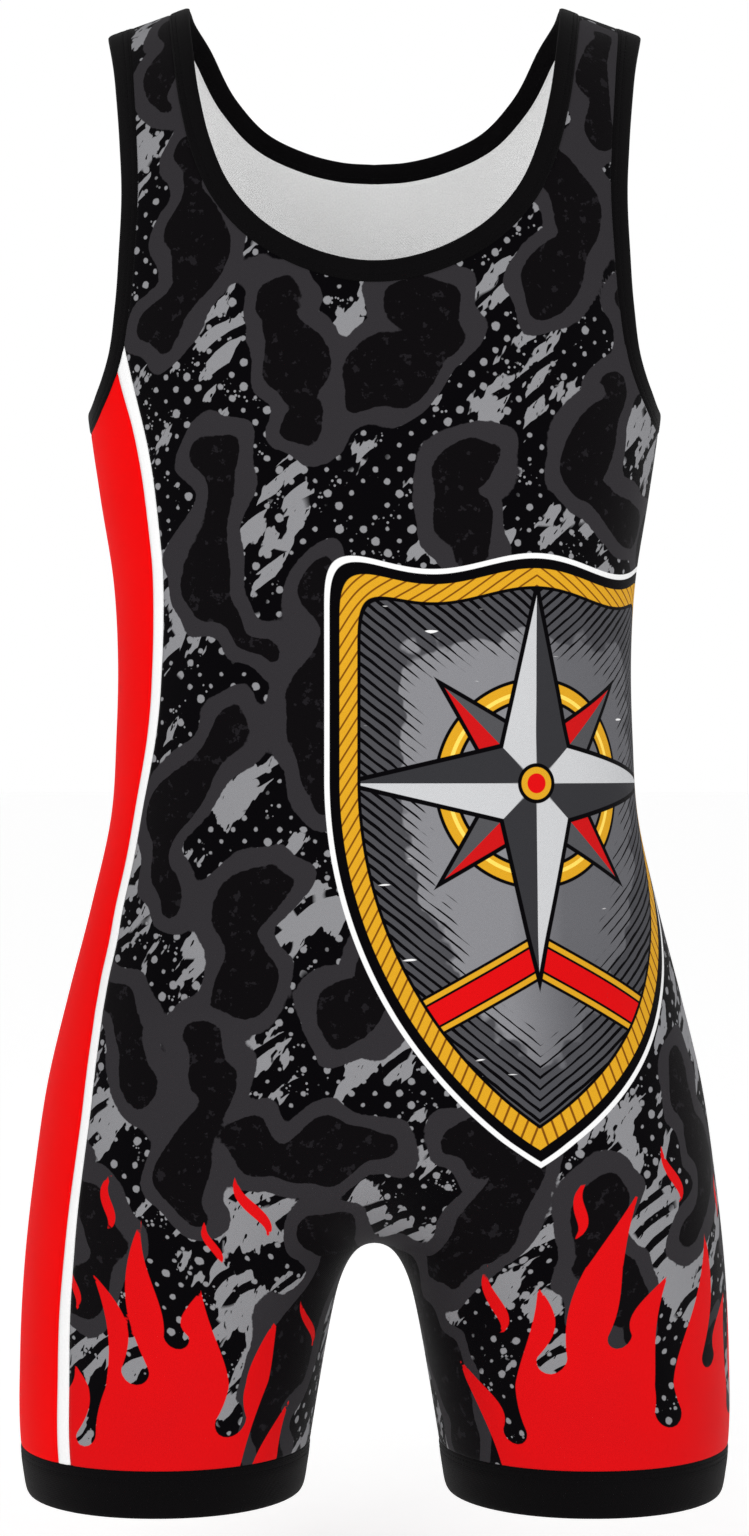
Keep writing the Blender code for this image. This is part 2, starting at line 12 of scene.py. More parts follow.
import bmesh
import bpy
import numpy as np
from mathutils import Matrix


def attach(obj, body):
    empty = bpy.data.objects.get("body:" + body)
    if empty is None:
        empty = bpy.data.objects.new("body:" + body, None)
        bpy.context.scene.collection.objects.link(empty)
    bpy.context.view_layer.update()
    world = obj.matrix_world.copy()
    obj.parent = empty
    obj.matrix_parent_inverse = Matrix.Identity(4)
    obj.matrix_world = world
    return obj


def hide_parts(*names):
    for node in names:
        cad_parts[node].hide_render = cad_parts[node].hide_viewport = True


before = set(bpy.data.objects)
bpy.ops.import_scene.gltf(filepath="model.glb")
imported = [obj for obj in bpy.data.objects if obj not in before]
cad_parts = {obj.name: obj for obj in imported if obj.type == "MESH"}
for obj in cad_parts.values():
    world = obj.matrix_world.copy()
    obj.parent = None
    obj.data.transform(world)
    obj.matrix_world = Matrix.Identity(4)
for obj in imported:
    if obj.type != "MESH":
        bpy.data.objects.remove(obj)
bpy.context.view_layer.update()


# The front: one panel of stretch knit with both legs' fronts in one, printed before it is sewn.
# It takes the form of the body inside it: a trunk that runs over the shoulders and blends into
# two legs. The lines that it shares with other pieces are worked out here once, for all of them.

# Cloth, and the levels where the yoke joins the body and where the leg bands start and end
PANEL_CLOTH = 0.0012
BINDING_WIDTH = 0.0110
JOIN = 0.300
BAND_TOP = 0.7845
HEM = 0.8095

# Shoulders: how deep the straps' arch over the ridge is, how the ridge slopes outwards, and how
# far from the middle a strap's raw edges are there
SHOULDER_RISE = 0.200
SHOULDER_SLOPE = 0.345
SLOPE_FADES_BY = 0.200
STRAP_INNER = 0.1015
STRAP_OUTER = 0.1460

# Between the legs: where the trunk starts to close, how tall its rounded end is, how softly trunk
# and legs run into each other, over what height the legs grow out of the trunk, and the levels
# between which the form closes
TRUNK_CLOSES = 0.590
TRUNK_END = 0.0780
BLEND = 0.012
LEGS_GROW_IN = 0.100
CROTCH_BETWEEN = (0.60, 0.72)

# The levels between which the cloth's extra length at the crotch is taken up, where the lower
# yoke ends at the middle, and a turn that lies well below both the neck and the armhole
CALM_ABOVE = 0.610
CALM_BELOW = 0.740
CROSS_LEVEL = 0.200
LOW_TURN = 2.0

# How finely the form is followed: points on a line, rays round half a section, rounds of halving
# to find its surface, and how close two points are that are one
LINE_POINTS = 641
SECTION_RAYS = 401
HALVINGS = 32
SAME_POINT = 0.00005

# The tables of lengths along the yoke: turns and angles for the widths, turns for the heights,
# and the angle at which the heights are taken, down the strap's middle
WIDTH_TURNS = 61
WIDTH_ANGLES = 121
HEIGHT_TURNS = 241
STRAP_ANGLE = 0.9

# Columns and rows of the cloth's mesh, finer at the flames and the crotch
UNDER_COLUMNS = 28
STRAP_COLUMNS = 16
NECK_COLUMNS = 54
SIDE_COLUMNS = 46
STRIPE_COLUMNS = 4
YOKE_ROWS = 36
STRAP_ROWS = 60
ROW_HEIGHT = 0.0031
FLAME_ROW_HEIGHT = 0.0019
FLAMES_ABOVE = 0.635
CROTCH_ROWS = (
    *(-0.012, -0.0095, -0.0072, -0.0052, -0.0035, -0.0022, -0.0012, -0.0005),
    *(0.0, 0.0007, 0.0017, 0.003, 0.0046, 0.0064, 0.0083),
)


def table(kind, *rows):
    """Rows of numbers, with a name for each column."""
    return tuple(kind(*row) for row in rows)


# Half width, depths to the front and the back of the side line, and the power of the oval
Section = namedtuple("Section", "level half_width front back power")
SECTIONS = table(
    Section,
    (0.000, 0.1560, 0.105, 0.100, 2.5),
    (0.110, 0.1575, 0.105, 0.100, 2.5),
    (0.180, 0.1580, 0.106, 0.100, 2.5),
    (0.225, 0.1554, 0.106, 0.098, 2.5),
    (0.268, 0.1494, 0.104, 0.092, 2.5),
    (0.317, 0.1419, 0.101, 0.084, 2.45),
    (0.356, 0.1399, 0.099, 0.079, 2.4),
    (0.400, 0.1408, 0.098, 0.078, 2.4),
    (0.440, 0.1433, 0.098, 0.083, 2.4),
    (0.490, 0.1541, 0.099, 0.095, 2.4),
    (0.540, 0.1670, 0.100, 0.107, 2.4),
    (0.588, 0.1784, 0.099, 0.112, 2.4),
    (0.631, 0.1849, 0.097, 0.109, 2.4),
    (0.690, 0.1914, 0.092, 0.100, 2.4),
    (0.736, 0.1936, 0.087, 0.093, 2.4),
    (0.784, 0.1931, 0.083, 0.087, 2.4),
    (0.810, 0.1896, 0.080, 0.084, 2.4),
)

# How far the legs' inner sides lie from the middle of the body, and the power of their ovals
Leg = namedtuple("Leg", "level inner power")
LEGS = table(
    Leg,
    (0.500, 0.0300, 2.1),
    (0.600, 0.0200, 2.1),
    (0.650, 0.0175, 2.1),
    (0.677, 0.0175, 2.1),
    (0.702, 0.0222, 2.1),
    (0.744, 0.0295, 2.1),
    (0.784, 0.0360, 2.1),
    (0.810, 0.0400, 2.1),
)

# The raw edges of the openings: how far from the middle of the body they lie, by level
Edge = namedtuple("Edge", "across level")
NECK_FRONT = table(
    Edge,
    (0.0000, 0.1554),
    (0.0035, 0.1553),
    (0.0214, 0.1523),
    (0.0412, 0.1446),
    (0.0610, 0.1309),
    (0.0764, 0.1116),
    (0.0862, 0.0880),
    (0.0924, 0.0630),
    (0.0975, 0.0300),
    (0.1005, 0.0080),
    (STRAP_INNER, 0.0000),
)
NECK_BACK = table(
    Edge,
    (0.0000, 0.0810),
    (0.0178, 0.0783),
    (0.0397, 0.0715),
    (0.0619, 0.0596),
    (0.0776, 0.0427),
    (0.0920, 0.0160),
    (0.0994, 0.0042),
    (STRAP_INNER, 0.0000),
)
ARMHOLE = table(
    Edge,
    (STRAP_OUTER, 0.0000),
    (0.1457, 0.0020),
    (0.1394, 0.0408),
    (0.1358, 0.0794),
    (0.1342, 0.1078),
    (0.1350, 0.1380),
    (0.1372, 0.1710),
    (0.1411, 0.1970),
    (0.1449, 0.2078),
    (0.1492, 0.2165),
)
ARMHOLE_BOTTOM = 0.2230

# Where the yoke turns into the strap, at the armhole and at the neck, and the rows below that
Turn = namedtuple("Turn", "armhole neck rows")
TURNS = {"front": Turn(0.125, 0.100, 24), "back": Turn(0.090, 0.055, 36)}

# How far round from the side line the side panel's edges lie, on the wearer's right, and how wide
# the stripe is; the armhole cuts the stripe off at a slant over a length of its seam
Side = namedtuple("Side", "level front back stripe")
SIDES = table(
    Side,
    (0.192, 0.0681, 0.0575, 0.0082),
    (0.212, 0.0732, 0.0590, 0.0084),
    (0.233, 0.0786, 0.0600, 0.0074),
    (0.262, 0.0805, 0.0600, 0.0075),
    (0.300, 0.0770, 0.0580, 0.0076),
    (0.348, 0.0705, 0.0540, 0.0076),
    (0.400, 0.0654, 0.0520, 0.0070),
    (0.440, 0.0577, 0.0524, 0.0068),
    (0.470, 0.0578, 0.0531, 0.0067),
    (0.500, 0.0588, 0.0547, 0.0068),
    (0.520, 0.0632, 0.0560, 0.0069),
    (0.545, 0.0709, 0.0581, 0.0069),
    (0.570, 0.0746, 0.0600, 0.0068),
    (0.623, 0.0775, 0.0620, 0.0067),
    (0.724, 0.0732, 0.0600, 0.0085),
    (0.810, 0.0700, 0.0580, 0.0086),
)
STRIPE_SLANT = 0.0150


def smooth(knots, values, at):
    """Cubic pieces between knots, each as steep at a knot as its neighbours are."""
    slopes = np.gradient(values, knots)
    at = np.clip(at, knots[0], knots[-1])
    i = np.clip(np.searchsorted(knots, at, side="right") - 1, 0, len(knots) - 2)
    step = knots[i + 1] - knots[i]
    f = (at - knots[i]) / step
    value = values[i] * (1 + 2 * f) * (1 - f) ** 2 + values[i + 1] * f * f * (3 - 2 * f)
    return value + step * (slopes[i] * f * (1 - f) ** 2 - slopes[i + 1] * f * f * (1 - f))


def through(rows, column, at):
    """The value of a table's column at any level, on a smooth curve through its rows."""
    knots = np.array([row[0] for row in rows])
    return smooth(knots, np.array([getattr(row, column) for row in rows]), at)


def runs_along(points):
    """The length of a line of points up to each of them."""
    return np.r_[0, np.cumsum(np.linalg.norm(np.diff(points, axis=0), axis=1))]


def dense(points):
    """A smooth curve through a few points in the plane, as many close ones."""
    knots = runs_along(points)
    at = np.linspace(0, knots[-1], LINE_POINTS)
    return np.stack([smooth(knots, points[:, k], at) for k in (0, 1)], axis=1)


def level_of(turn):
    """The level that a turn reaches: a quarter round over the shoulder, then straight down."""
    quarter = math.pi / 2
    rounded = 1 - np.cos(np.minimum(turn, quarter))
    return SHOULDER_RISE * (rounded + np.maximum(turn - quarter, 0))


def turn_of(level):
    """The turn that reaches a level."""
    past = np.maximum(level / SHOULDER_RISE - 1, 0)
    return np.arccos(np.clip(1 - level / SHOULDER_RISE, 0, 1)) + past


def around_of(across, level, face):
    """The angle round the form of a point of the front or the back, by its distance across."""
    power = through(SECTIONS, "power", level)
    share = np.clip(across / through(SECTIONS, "half_width", level), 0, 1)
    angle = np.arctan2(share, (1 - share**power) ** (1 / power))
    return angle if face == "front" else math.pi - angle


def on_yoke(chart):
    """Points above the join by their angle round the form and their turn, on the left."""
    around, turn = np.moveaxis(chart, -1, 0)
    level = level_of(turn)
    power = through(SECTIONS, "power", level)
    sine = np.sin(around)
    cosine = np.cos(around)
    norm = (np.abs(sine) ** power + np.abs(cosine) ** power) ** (1 / power)
    ahead = through(SECTIONS, "front", level)
    behind = through(SECTIONS, "back", level)
    depth = np.where(cosine > 0, ahead, behind) * np.sin(np.minimum(turn, math.pi / 2))
    x = through(SECTIONS, "half_width", level) * sine / norm
    fade = np.clip(1 - level / SLOPE_FADES_BY, 0, 1) ** 2
    z = SHOULDER_SLOPE * (STRAP_INNER - np.abs(x)) * fade - level
    return np.stack([x, -depth * cosine / norm, z], axis=-1)


def charted(points):
    """The angle and turn of points in space on the join."""
    half = through(SECTIONS, "half_width", JOIN)
    ahead = through(SECTIONS, "front", JOIN)
    behind = through(SECTIONS, "back", JOIN)
    depth = np.where(points[:, 1] < 0, ahead, behind)
    around = np.arctan2(points[:, 0] / half, -points[:, 1] / depth)
    return np.stack([around, np.full(len(points), float(turn_of(JOIN)))], axis=1)


def round_from_side(run, level, face):
    """The angle and turn at a level that lie a run of cloth from the side line."""
    around = np.linspace(math.pi / 2, 0 if face == "front" else math.pi, LINE_POINTS)
    turn = float(turn_of(level))
    runs = runs_along(on_yoke(np.stack([around, np.full(LINE_POINTS, turn)], axis=1)))
    return np.interp(run, runs, around), turn


def raw_edge(rows, face):
    """A dense raw edge of the front or the back, from its table."""
    across = np.array([row.across for row in rows])
    level = np.array([row.level for row in rows])
    chart = np.stack([around_of(across, level, face), turn_of(level)], axis=1)
    if rows is ARMHOLE:
        chart = np.vstack([chart, (math.pi / 2, turn_of(ARMHOLE_BOTTOM))])
    return dense(chart)


def beside(chart, width, cloth):
    """The line that runs at a width beside an edge, on the side where the cloth lies."""
    step = 1e-4
    above = np.stack([chart[:, 0], np.maximum(chart[:, 1] - step, 0)], axis=1)
    below = chart + (0, step)
    by_around = (on_yoke(chart + (step, 0)) - on_yoke(chart - (step, 0))) / (2 * step)
    by_turn = (on_yoke(below) - on_yoke(above)) / (below - above)[:, 1:]
    e = (by_around**2).sum(1)
    f = (by_around * by_turn).sum(1)
    g = (by_turn**2).sum(1)
    a, t = np.gradient(chart, axis=0).T
    p, q = -(f * a + g * t), e * a + f * t
    length = np.sqrt(e * p * p + 2 * f * p * q + g * q * q)
    square = np.stack([p, q], axis=1) / length[:, None]
    middle = len(chart) // 2
    sign = math.copysign(1, square[middle] @ (np.array(cloth) - chart[middle]))
    return chart + sign * width * square


def at_places(chart, places):
    """The points of a dense line at the given places, which are indices into it."""
    index = np.arange(len(chart))
    return np.stack([np.interp(places, index, chart[:, k]) for k in (0, 1)], axis=1)


def place_at(chart, level):
    """The place where a dense line passes a level."""
    passed = level_of(chart[:, 1])
    order = np.argsort(passed)
    return float(np.interp(level, passed[order], order))


def even_places(chart, start, end, count):
    """The places that part a stretch of a dense line into equal lengths of cloth."""
    runs = runs_along(on_yoke(chart))
    index = np.arange(len(runs))
    wanted = np.linspace(*np.interp([start, end], index, runs), count + 1)
    return np.interp(wanted, runs, index)


def between(first, last):
    """Points across the strap between two points or two lines of them."""
    shares = np.linspace(0, 1, STRAP_COLUMNS + 1)[:, None]
    return first[..., None, :] * (1 - shares) + last[..., None, :] * shares


def patch(bottom, top, first, last):
    """Points between four lines that share their corners, in rows from bottom to top."""
    v = np.linspace(0, 1, len(first))[:, None, None]
    u = np.linspace(0, 1, len(bottom))[None, :, None]
    low = (1 - u) * bottom[0] + u * bottom[-1]
    high = (1 - u) * top[0] + u * top[-1]
    ruled = (1 - v) * (bottom - low) + v * (top - high)
    return ruled + (1 - u) * first[:, None] + u * last[:, None]


@functools.lru_cache(maxsize=None)
def flat_widths(face):
    """How far from the middle each angle lies along the cloth, by turn: turns, angles, runs."""
    turns = np.linspace(0, float(turn_of(JOIN)), WIDTH_TURNS)
    middle = 0.0 if face == "front" else math.pi
    arounds = np.linspace(middle, math.pi / 2, WIDTH_ANGLES)
    lines = (np.stack([arounds, np.full(WIDTH_ANGLES, turn)], axis=1) for turn in turns)
    return turns, arounds, np.array([runs_along(on_yoke(line)) for line in lines])


@functools.lru_cache(maxsize=None)
def flat_heights():
    """How far below the shoulder each turn lies along the cloth of the strap."""
    turns = np.linspace(0, float(turn_of(JOIN)), HEIGHT_TURNS)
    chart = np.stack([np.full(HEIGHT_TURNS, STRAP_ANGLE), turns], axis=1)
    runs = runs_along(on_yoke(chart))
    return turns, JOIN + runs - runs[-1]


def on_flat(chart, face):
    """A yoke grid's points in space, with their places on the flat cut as two more columns."""
    turns, arounds, runs = flat_widths(face)
    row = np.interp(chart[..., 1], turns, np.arange(len(turns)))
    first = np.minimum(row.astype(int), len(turns) - 2)
    share = (chart[..., 0] - arounds[0]) / (arounds[-1] - arounds[0]) * (len(arounds) - 1)
    share = np.clip(share, 0, len(arounds) - 1)
    column = np.minimum(share.astype(int), len(arounds) - 2)
    f = share - column
    low = runs[first, column] * (1 - f) + runs[first, column + 1] * f
    high = runs[first + 1, column] * (1 - f) + runs[first + 1, column + 1] * f
    across = low + (high - low) * (row - first)
    down = np.interp(chart[..., 1], *flat_heights())
    return np.concatenate([on_yoke(chart), across[..., None], down[..., None]], axis=-1)


def outside(x, y, level):
    """How far a point lies outside the blended trunk and legs, below zero inside them."""
    half = through(SECTIONS, "half_width", level)
    power = through(SECTIONS, "power", level)
    ahead = through(SECTIONS, "front", level)
    behind = through(SECTIONS, "back", level)
    depth = np.where(y < 0, ahead, behind)
    flat = ((np.abs(x) / half) ** power + (np.abs(y) / depth) ** power) ** (2 / power)
    sunk = np.maximum(level - TRUNK_CLOSES, 0) / TRUNK_END
    felt = np.exp(-(np.sqrt(flat + sunk**2) - 1) * TRUNK_END / BLEND)
    grown = np.clip((level - LEGS[0].level) / LEGS_GROW_IN, 0, 1)
    grown = grown * grown * (3 - 2 * grown)
    inner = through(LEGS, "inner", level)
    power = through(LEGS, "power", level)
    centre = (half + inner) / 2
    reach = (half - inner) / 2
    for side in (1, -1):
        oval = (np.abs(side * x - centre) / reach) ** power + (np.abs(y) / depth) ** power
        felt = felt + grown * np.exp(-(oval ** (1 / power) - 1) * reach / BLEND)
    return -BLEND * np.log(felt)


def root(function, low, high):
    """Where a function of arrays passes from below zero at low to above zero at high."""
    for _ in range(HALVINGS):
        middle = (low + high) / 2
        inside = function(middle) < 0
        low = np.where(inside, middle, low)
        high = np.where(inside, high, middle)
    return (low + high) / 2


@functools.lru_cache(maxsize=None)
def half_section(level):
    """The left half of the form's outline at a level, as its front line and its back line."""
    # Rays go out from a point inside the left half, no further than the middle of the body
    half = float(through(SECTIONS, "half_width", level))
    centre = 0.55 * half
    angle = np.linspace(0, math.pi, SECTION_RAYS)
    x_step = np.cos(angle)
    x_step[-1] = -1
    limit = np.minimum(centre / np.maximum(-x_step, 1e-6), 0.3)
    lines = {}
    for face, way in (("front", -1), ("back", 1)):
        y_step = way * np.sin(angle)
        y_step[-1] = 0
        closes = outside(centre + limit * x_step, limit * y_step, level) > 0
        reach = root(
            lambda r: outside(centre + r * x_step, r * y_step, level),
            np.zeros(SECTION_RAYS),
            limit,
        )
        line = np.stack([centre + reach * x_step, reach * y_step], axis=1)[closes]
        if not closes[-1]:
            depth = float(root(lambda d: outside(0.0, way * d, level), 0.0, 0.2))
            line = np.vstack([line, (0.0, way * depth)])
        wanted = float(through(SECTIONS, face, level))
        lines[face] = line * (half / line[0, 0], wanted / np.abs(line[:, 1]).max())
    return lines


@functools.lru_cache(maxsize=None)
def crotch():
    """The level where the form closes between the legs."""
    return float(root(lambda level: outside(0.0, 0.0, level), *CROTCH_BETWEEN))


def calm_length(face, level):
    """The length that a half section would have if the body didn't dip between the legs."""
    share = (level - CALM_ABOVE) / (CALM_BELOW - CALM_ABOVE)
    if not 0 < share < 1:
        return runs_along(half_section(level)[face])[-1]
    above, below = (runs_along(half_section(at)[face])[-1] for at in (CALM_ABOVE, CALM_BELOW))
    return above + (below - above) * share * share * (3 - 2 * share)


def columns_of(side):
    """The number of columns of the front or the back on one side of the middle."""
    under = UNDER_COLUMNS if side == "left" else 0
    return under + STRAP_COLUMNS + NECK_COLUMNS


def steps(start, end, height):
    """Levels from start to end, about a height apart."""
    return np.linspace(start, end, 1 + max(1, round((end - start) / height)))


def body_levels():
    """The levels of the rows from the join to the leg bands, crowded at the crotch."""
    crowd = [crotch() + offset for offset in CROTCH_ROWS]
    above = steps(JOIN, FLAMES_ABOVE, ROW_HEIGHT)
    middle = steps(FLAMES_ABOVE, crowd[0], FLAME_ROW_HEIGHT)
    below = steps(crowd[-1], BAND_TOP, FLAME_ROW_HEIGHT)
    return [float(level) for level in (*above[:-1], *middle[:-1], *crowd, *below[1:])]


def stations(face, runs, level):
    """Points of the front or the back line at a level, at given runs from the side line."""
    line = half_section(level)[face]
    lengths = runs_along(line)
    x, y = (np.interp(runs, lengths, line[:, k]) for k in (0, 1))
    return np.stack([x, y, np.full(len(x), -level)], axis=1)


def side_run(edge, level):
    """How far from the side line one of the side panel's or the stripe's edges lies."""
    run = through(SIDES, "back" if edge == "back" else "front", level)
    return float(run + (through(SIDES, "stripe", level) if edge == "stripe" else 0))


def body_row(piece, side, level):
    """One piece's points at a level below the join, on the left, with their flat places."""
    if piece == "stripe":
        ends = side_run("stripe", level), side_run("front", level)
        runs = np.linspace(*ends, STRIPE_COLUMNS + 1)
        points = stations("front", runs, level)
        flat = runs
    elif piece == "side":
        ends = side_run("front", level), -side_run("back", level)
        runs = np.linspace(*ends, SIDE_COLUMNS + 1)
        ahead = stations("front", np.maximum(runs, 0), level)
        behind = stations("back", np.maximum(-runs, 0), level)
        points = np.where(runs[:, None] > 0, ahead, behind)
        flat = runs
    else:
        start = 0.0
        if side == "right":
            start = side_run("stripe" if piece == "front" else "back", level)
        calm = calm_length(piece, level)
        extra = runs_along(half_section(level)[piece])[-1] - calm
        u = np.linspace(0, 1, columns_of(side) + 1)
        points = stations(piece, start + (calm - start) * u + extra * u**5, level)
        flat = (calm - start) * (1 - u)
    return np.column_stack([points, flat, np.full(len(points), level)])


def body_grid(piece, side, levels):
    """A piece's rows of points at the given levels, on the left."""
    return np.array([body_row(piece, side, level) for level in levels])


class Yoke:
    """The lines and grids of the front or the back above the join, on one side of the middle."""

    def __init__(self, face, side):
        self.face = face
        self.side = side
        middle = 0.0 if face == "front" else math.pi
        self.neck = raw_edge(NECK_FRONT if face == "front" else NECK_BACK, face)
        self.neck_seam = beside(self.neck, BINDING_WIDTH, (math.pi / 2, LOW_TURN))
        self.neck_seam[0, 0] = middle
        self.neck_seam[-1] = (around_of(STRAP_INNER + BINDING_WIDTH, 0.0, face), 0.0)
        self.arm = raw_edge(ARMHOLE, face)
        self.arm_seam = beside(self.arm, BINDING_WIDTH, (middle, LOW_TURN))
        self.arm_seam[0] = (around_of(STRAP_OUTER - BINDING_WIDTH, 0.0, face), 0.0)
        self.arm_seam[-1, 0] = math.pi / 2
        self.end = float(len(self.arm) - 1)
        self.corner = place_at(self.arm_seam, SIDES[0].level)
        turn = place_at(self.neck_seam, TURNS[face].neck)
        self.neck_low = even_places(self.neck_seam, turn, 0, NECK_COLUMNS)
        self.neck_high = even_places(self.neck_seam, turn, self.end, STRAP_ROWS)
        turn = place_at(self.arm_seam, TURNS[face].armhole)
        self.arm_high = even_places(self.arm_seam, turn, 0, STRAP_ROWS)
        self.arm_middle = even_places(self.arm_seam, self.corner, turn, TURNS[face].rows)
        self.arm_low = np.array([self.corner])
        if side == "left":
            self.arm_low = even_places(self.arm_seam, self.end, self.corner, UNDER_COLUMNS)

    def side_seam(self):
        """The side edge from the join up to the armhole binding."""
        top = at_places(self.arm_seam, self.arm_low[:1])[0]
        if self.side == "left":
            start = charted(body_row(self.face, self.side, JOIN))[0]
            return np.linspace(start, top, YOKE_ROWS + 1)
        return side_line("stripe" if self.face == "front" else "back", self.face, top)

    def grids(self):
        """The points above the join, of the lower yoke, the upper yoke and the strap."""
        join = body_row(self.face, self.side, JOIN)
        start = charted(join)
        under = at_places(self.arm_seam, self.arm_low)
        armhole = at_places(self.arm_seam, self.arm_middle)
        neck = at_places(self.neck_seam, self.neck_low)
        middle = (start[-1, 0], float(turn_of(CROSS_LEVEL)))
        cross = np.linspace(under[-1], middle, columns_of("right") + 1)
        rising = np.linspace(start[-1], middle, YOKE_ROWS + 1)
        low = patch(start, np.vstack([under[:-1], cross]), self.side_seam(), rising)
        top = np.vstack([between(armhole[-1], neck[0]), neck[1:]])
        high = patch(cross, top, armhole, np.linspace(middle, neck[-1], len(armhole)))
        outer = at_places(self.arm_seam, self.arm_high)
        inner = at_places(self.neck_seam, self.neck_high)
        grids = [on_flat(chart, self.face) for chart in (low, high, between(outer, inner))]
        grids[0][0] = join
        return grids


def side_line(edge, face, top):
    """One of the side panel's or the stripe's edges, from the join up to the armhole."""
    levels = np.linspace(JOIN, float(level_of(top[1])), YOKE_ROWS + 1)
    line = np.array([round_from_side(side_run(edge, level), level, face) for level in levels])
    return line + np.linspace(0, 1, YOKE_ROWS + 1)[:, None] ** 2 * (top - line[-1])


def placed(grids, side):
    """Grids made on the left, moved to their side."""
    way = 1 if side == "left" else -1
    return [grid * (way, 1, 1, way, 1) for grid in grids]


def outwards(point):
    """A direction out of the garment near a point: away from the trunk's or a leg's middle."""
    direction = point.copy()
    direction.z = 0
    if -point.z > crotch():
        direction.x -= math.copysign((SECTIONS[-1].half_width + LEGS[-1].inner) / 2, point.x)
    return direction


# How far the cloth is drawn in along its seams, and how far in front of or behind the side line
# a crease is at its full height
SEAM_DIP = 0.0004
CREASE_DEPTH = 0.045

# Soft drag lines that fade at both ends: the middle's place, the length and width, how far the
# line leans from upright in degrees, and how high it stands (below zero it is a trough)
Crease = namedtuple("Crease", "face x level length width lean height")
CREASES = table(
    Crease,
    ("front", 0.030, 0.655, 0.110, 0.0090, 62, 0.0009),
    ("front", -0.034, 0.648, 0.120, 0.0100, -58, 0.0010),
    ("front", 0.060, 0.690, 0.100, 0.0080, 40, -0.0008),
    ("front", -0.066, 0.700, 0.120, 0.0085, -35, -0.0007),
    ("front", 0.108, 0.640, 0.150, 0.0130, 70, 0.0007),
    ("front", -0.100, 0.625, 0.130, 0.0120, -74, 0.0008),
    ("front", 0.095, 0.395, 0.110, 0.0110, 82, -0.0006),
    ("front", -0.080, 0.372, 0.120, 0.0120, -80, 0.0006),
    ("front", 0.090, 0.250, 0.120, 0.0110, 38, 0.0006),
    ("front", -0.095, 0.265, 0.110, 0.0100, -42, -0.0006),
    ("front", 0.118, 0.745, 0.070, 0.0080, 12, 0.0005),
    ("front", -0.120, 0.735, 0.080, 0.0085, -9, 0.0006),
    ("back", 0.028, 0.650, 0.120, 0.0100, 55, 0.0010),
    ("back", -0.032, 0.642, 0.110, 0.0095, -60, -0.0009),
    ("back", 0.072, 0.705, 0.130, 0.0110, 68, 0.0010),
    ("back", -0.068, 0.698, 0.120, 0.0100, -70, 0.0009),
    ("back", 0.050, 0.385, 0.150, 0.0120, 84, -0.0009),
    ("back", -0.046, 0.402, 0.140, 0.0130, -83, 0.0010),
    ("back", 0.030, 0.430, 0.130, 0.0100, 78, 0.0007),
    ("back", 0.090, 0.235, 0.120, 0.0110, 34, -0.0006),
    ("back", -0.092, 0.225, 0.120, 0.0120, -30, 0.0007),
    ("back", 0.100, 0.560, 0.120, 0.0130, 75, 0.0006),
)


def creased(points):
    """How far the cloth at each point stands off the smooth form."""
    height = np.zeros(len(points))
    for crease in CREASES:
        lean = math.radians(crease.lean)
        right = points[:, 0] - crease.x
        down = -points[:, 2] - crease.level
        along = (right * math.sin(lean) - down * math.cos(lean)) / (crease.length / 2)
        across = (right * math.cos(lean) + down * math.sin(lean)) / crease.width
        off_side = points[:, 1] * (-1 if crease.face == "front" else 1)
        ahead = np.clip(off_side / CREASE_DEPTH, 0, 1)
        faces_it = ahead**2 * (3 - 2 * ahead)
        fade = np.clip(1 - along**2, 0, 1) ** 2
        height += crease.height * fade * faces_it * np.exp(-(across**2))
    return height


def woven(grids, closed=False):
    """A net of faces over grids of points, each with its place on the flat cut."""
    net = bmesh.new()
    flat = net.verts.layers.float_vector.new("flat")
    for grid in grids:
        rows = []
        for line in grid.tolist():
            row = [net.verts.new(point[:3]) for point in line]
            for vert, point in zip(row, line):
                vert[flat] = (point[3], point[4], 0.0)
            rows.append(row + row[:1] if closed else row)
        for line, after in zip(rows, rows[1:] + rows[:1] if closed else rows[1:]):
            for a, b, c, d in zip(line, line[1:], after[1:], after):
                net.faces.new((a, b, c, d))
    return net


def added(name, data):
    """A new object in the scene."""
    thing = bpy.data.objects.new(name, data)
    bpy.context.scene.collection.objects.link(thing)
    return thing


def smooth_piece(name, net):
    """The smooth piece that a net of faces makes."""
    mesh = bpy.data.meshes.new(name)
    net.to_mesh(mesh)
    net.free()
    mesh.shade_smooth()
    return added(name, mesh)


def sewn(name, grids):
    """One panel's surface on the creased form, drawn in a little along its seams."""
    net = woven(grids)
    bmesh.ops.remove_doubles(net, verts=net.verts, dist=SAME_POINT)
    bmesh.ops.recalc_face_normals(net, faces=net.faces)
    if sum(face.normal.dot(outwards(face.calc_center_median())) for face in net.faces) < 0:
        bmesh.ops.reverse_faces(net, faces=net.faces)
    net.normal_update()
    points = np.array([vert.co for vert in net.verts])
    normals = np.array([vert.normal for vert in net.verts])
    height = creased(points) - SEAM_DIP * np.array([vert.is_boundary for vert in net.verts])
    for vert, point in zip(net.verts, (points + normals * height[:, None]).tolist()):
        vert.co = point
    return smooth_piece(name, net)


def walled(piece, material):
    """Gives a panel its cloth's thickness and its material, with bare knit on the wrong side."""
    piece.data.materials.append(material)
    piece.data.materials.append(wrong_side)
    wall = piece.modifiers.new("Cloth", "SOLIDIFY")
    wall.thickness = PANEL_CLOTH
    wall.offset = 0.0
    wall.material_offset = 1


# How high the knit's loops stand
LOOP_HEIGHT = 0.00012


def with_other(operation):
    """A way to reckon with a value and another one."""
    return lambda value, other: value.maths(operation, value, other)


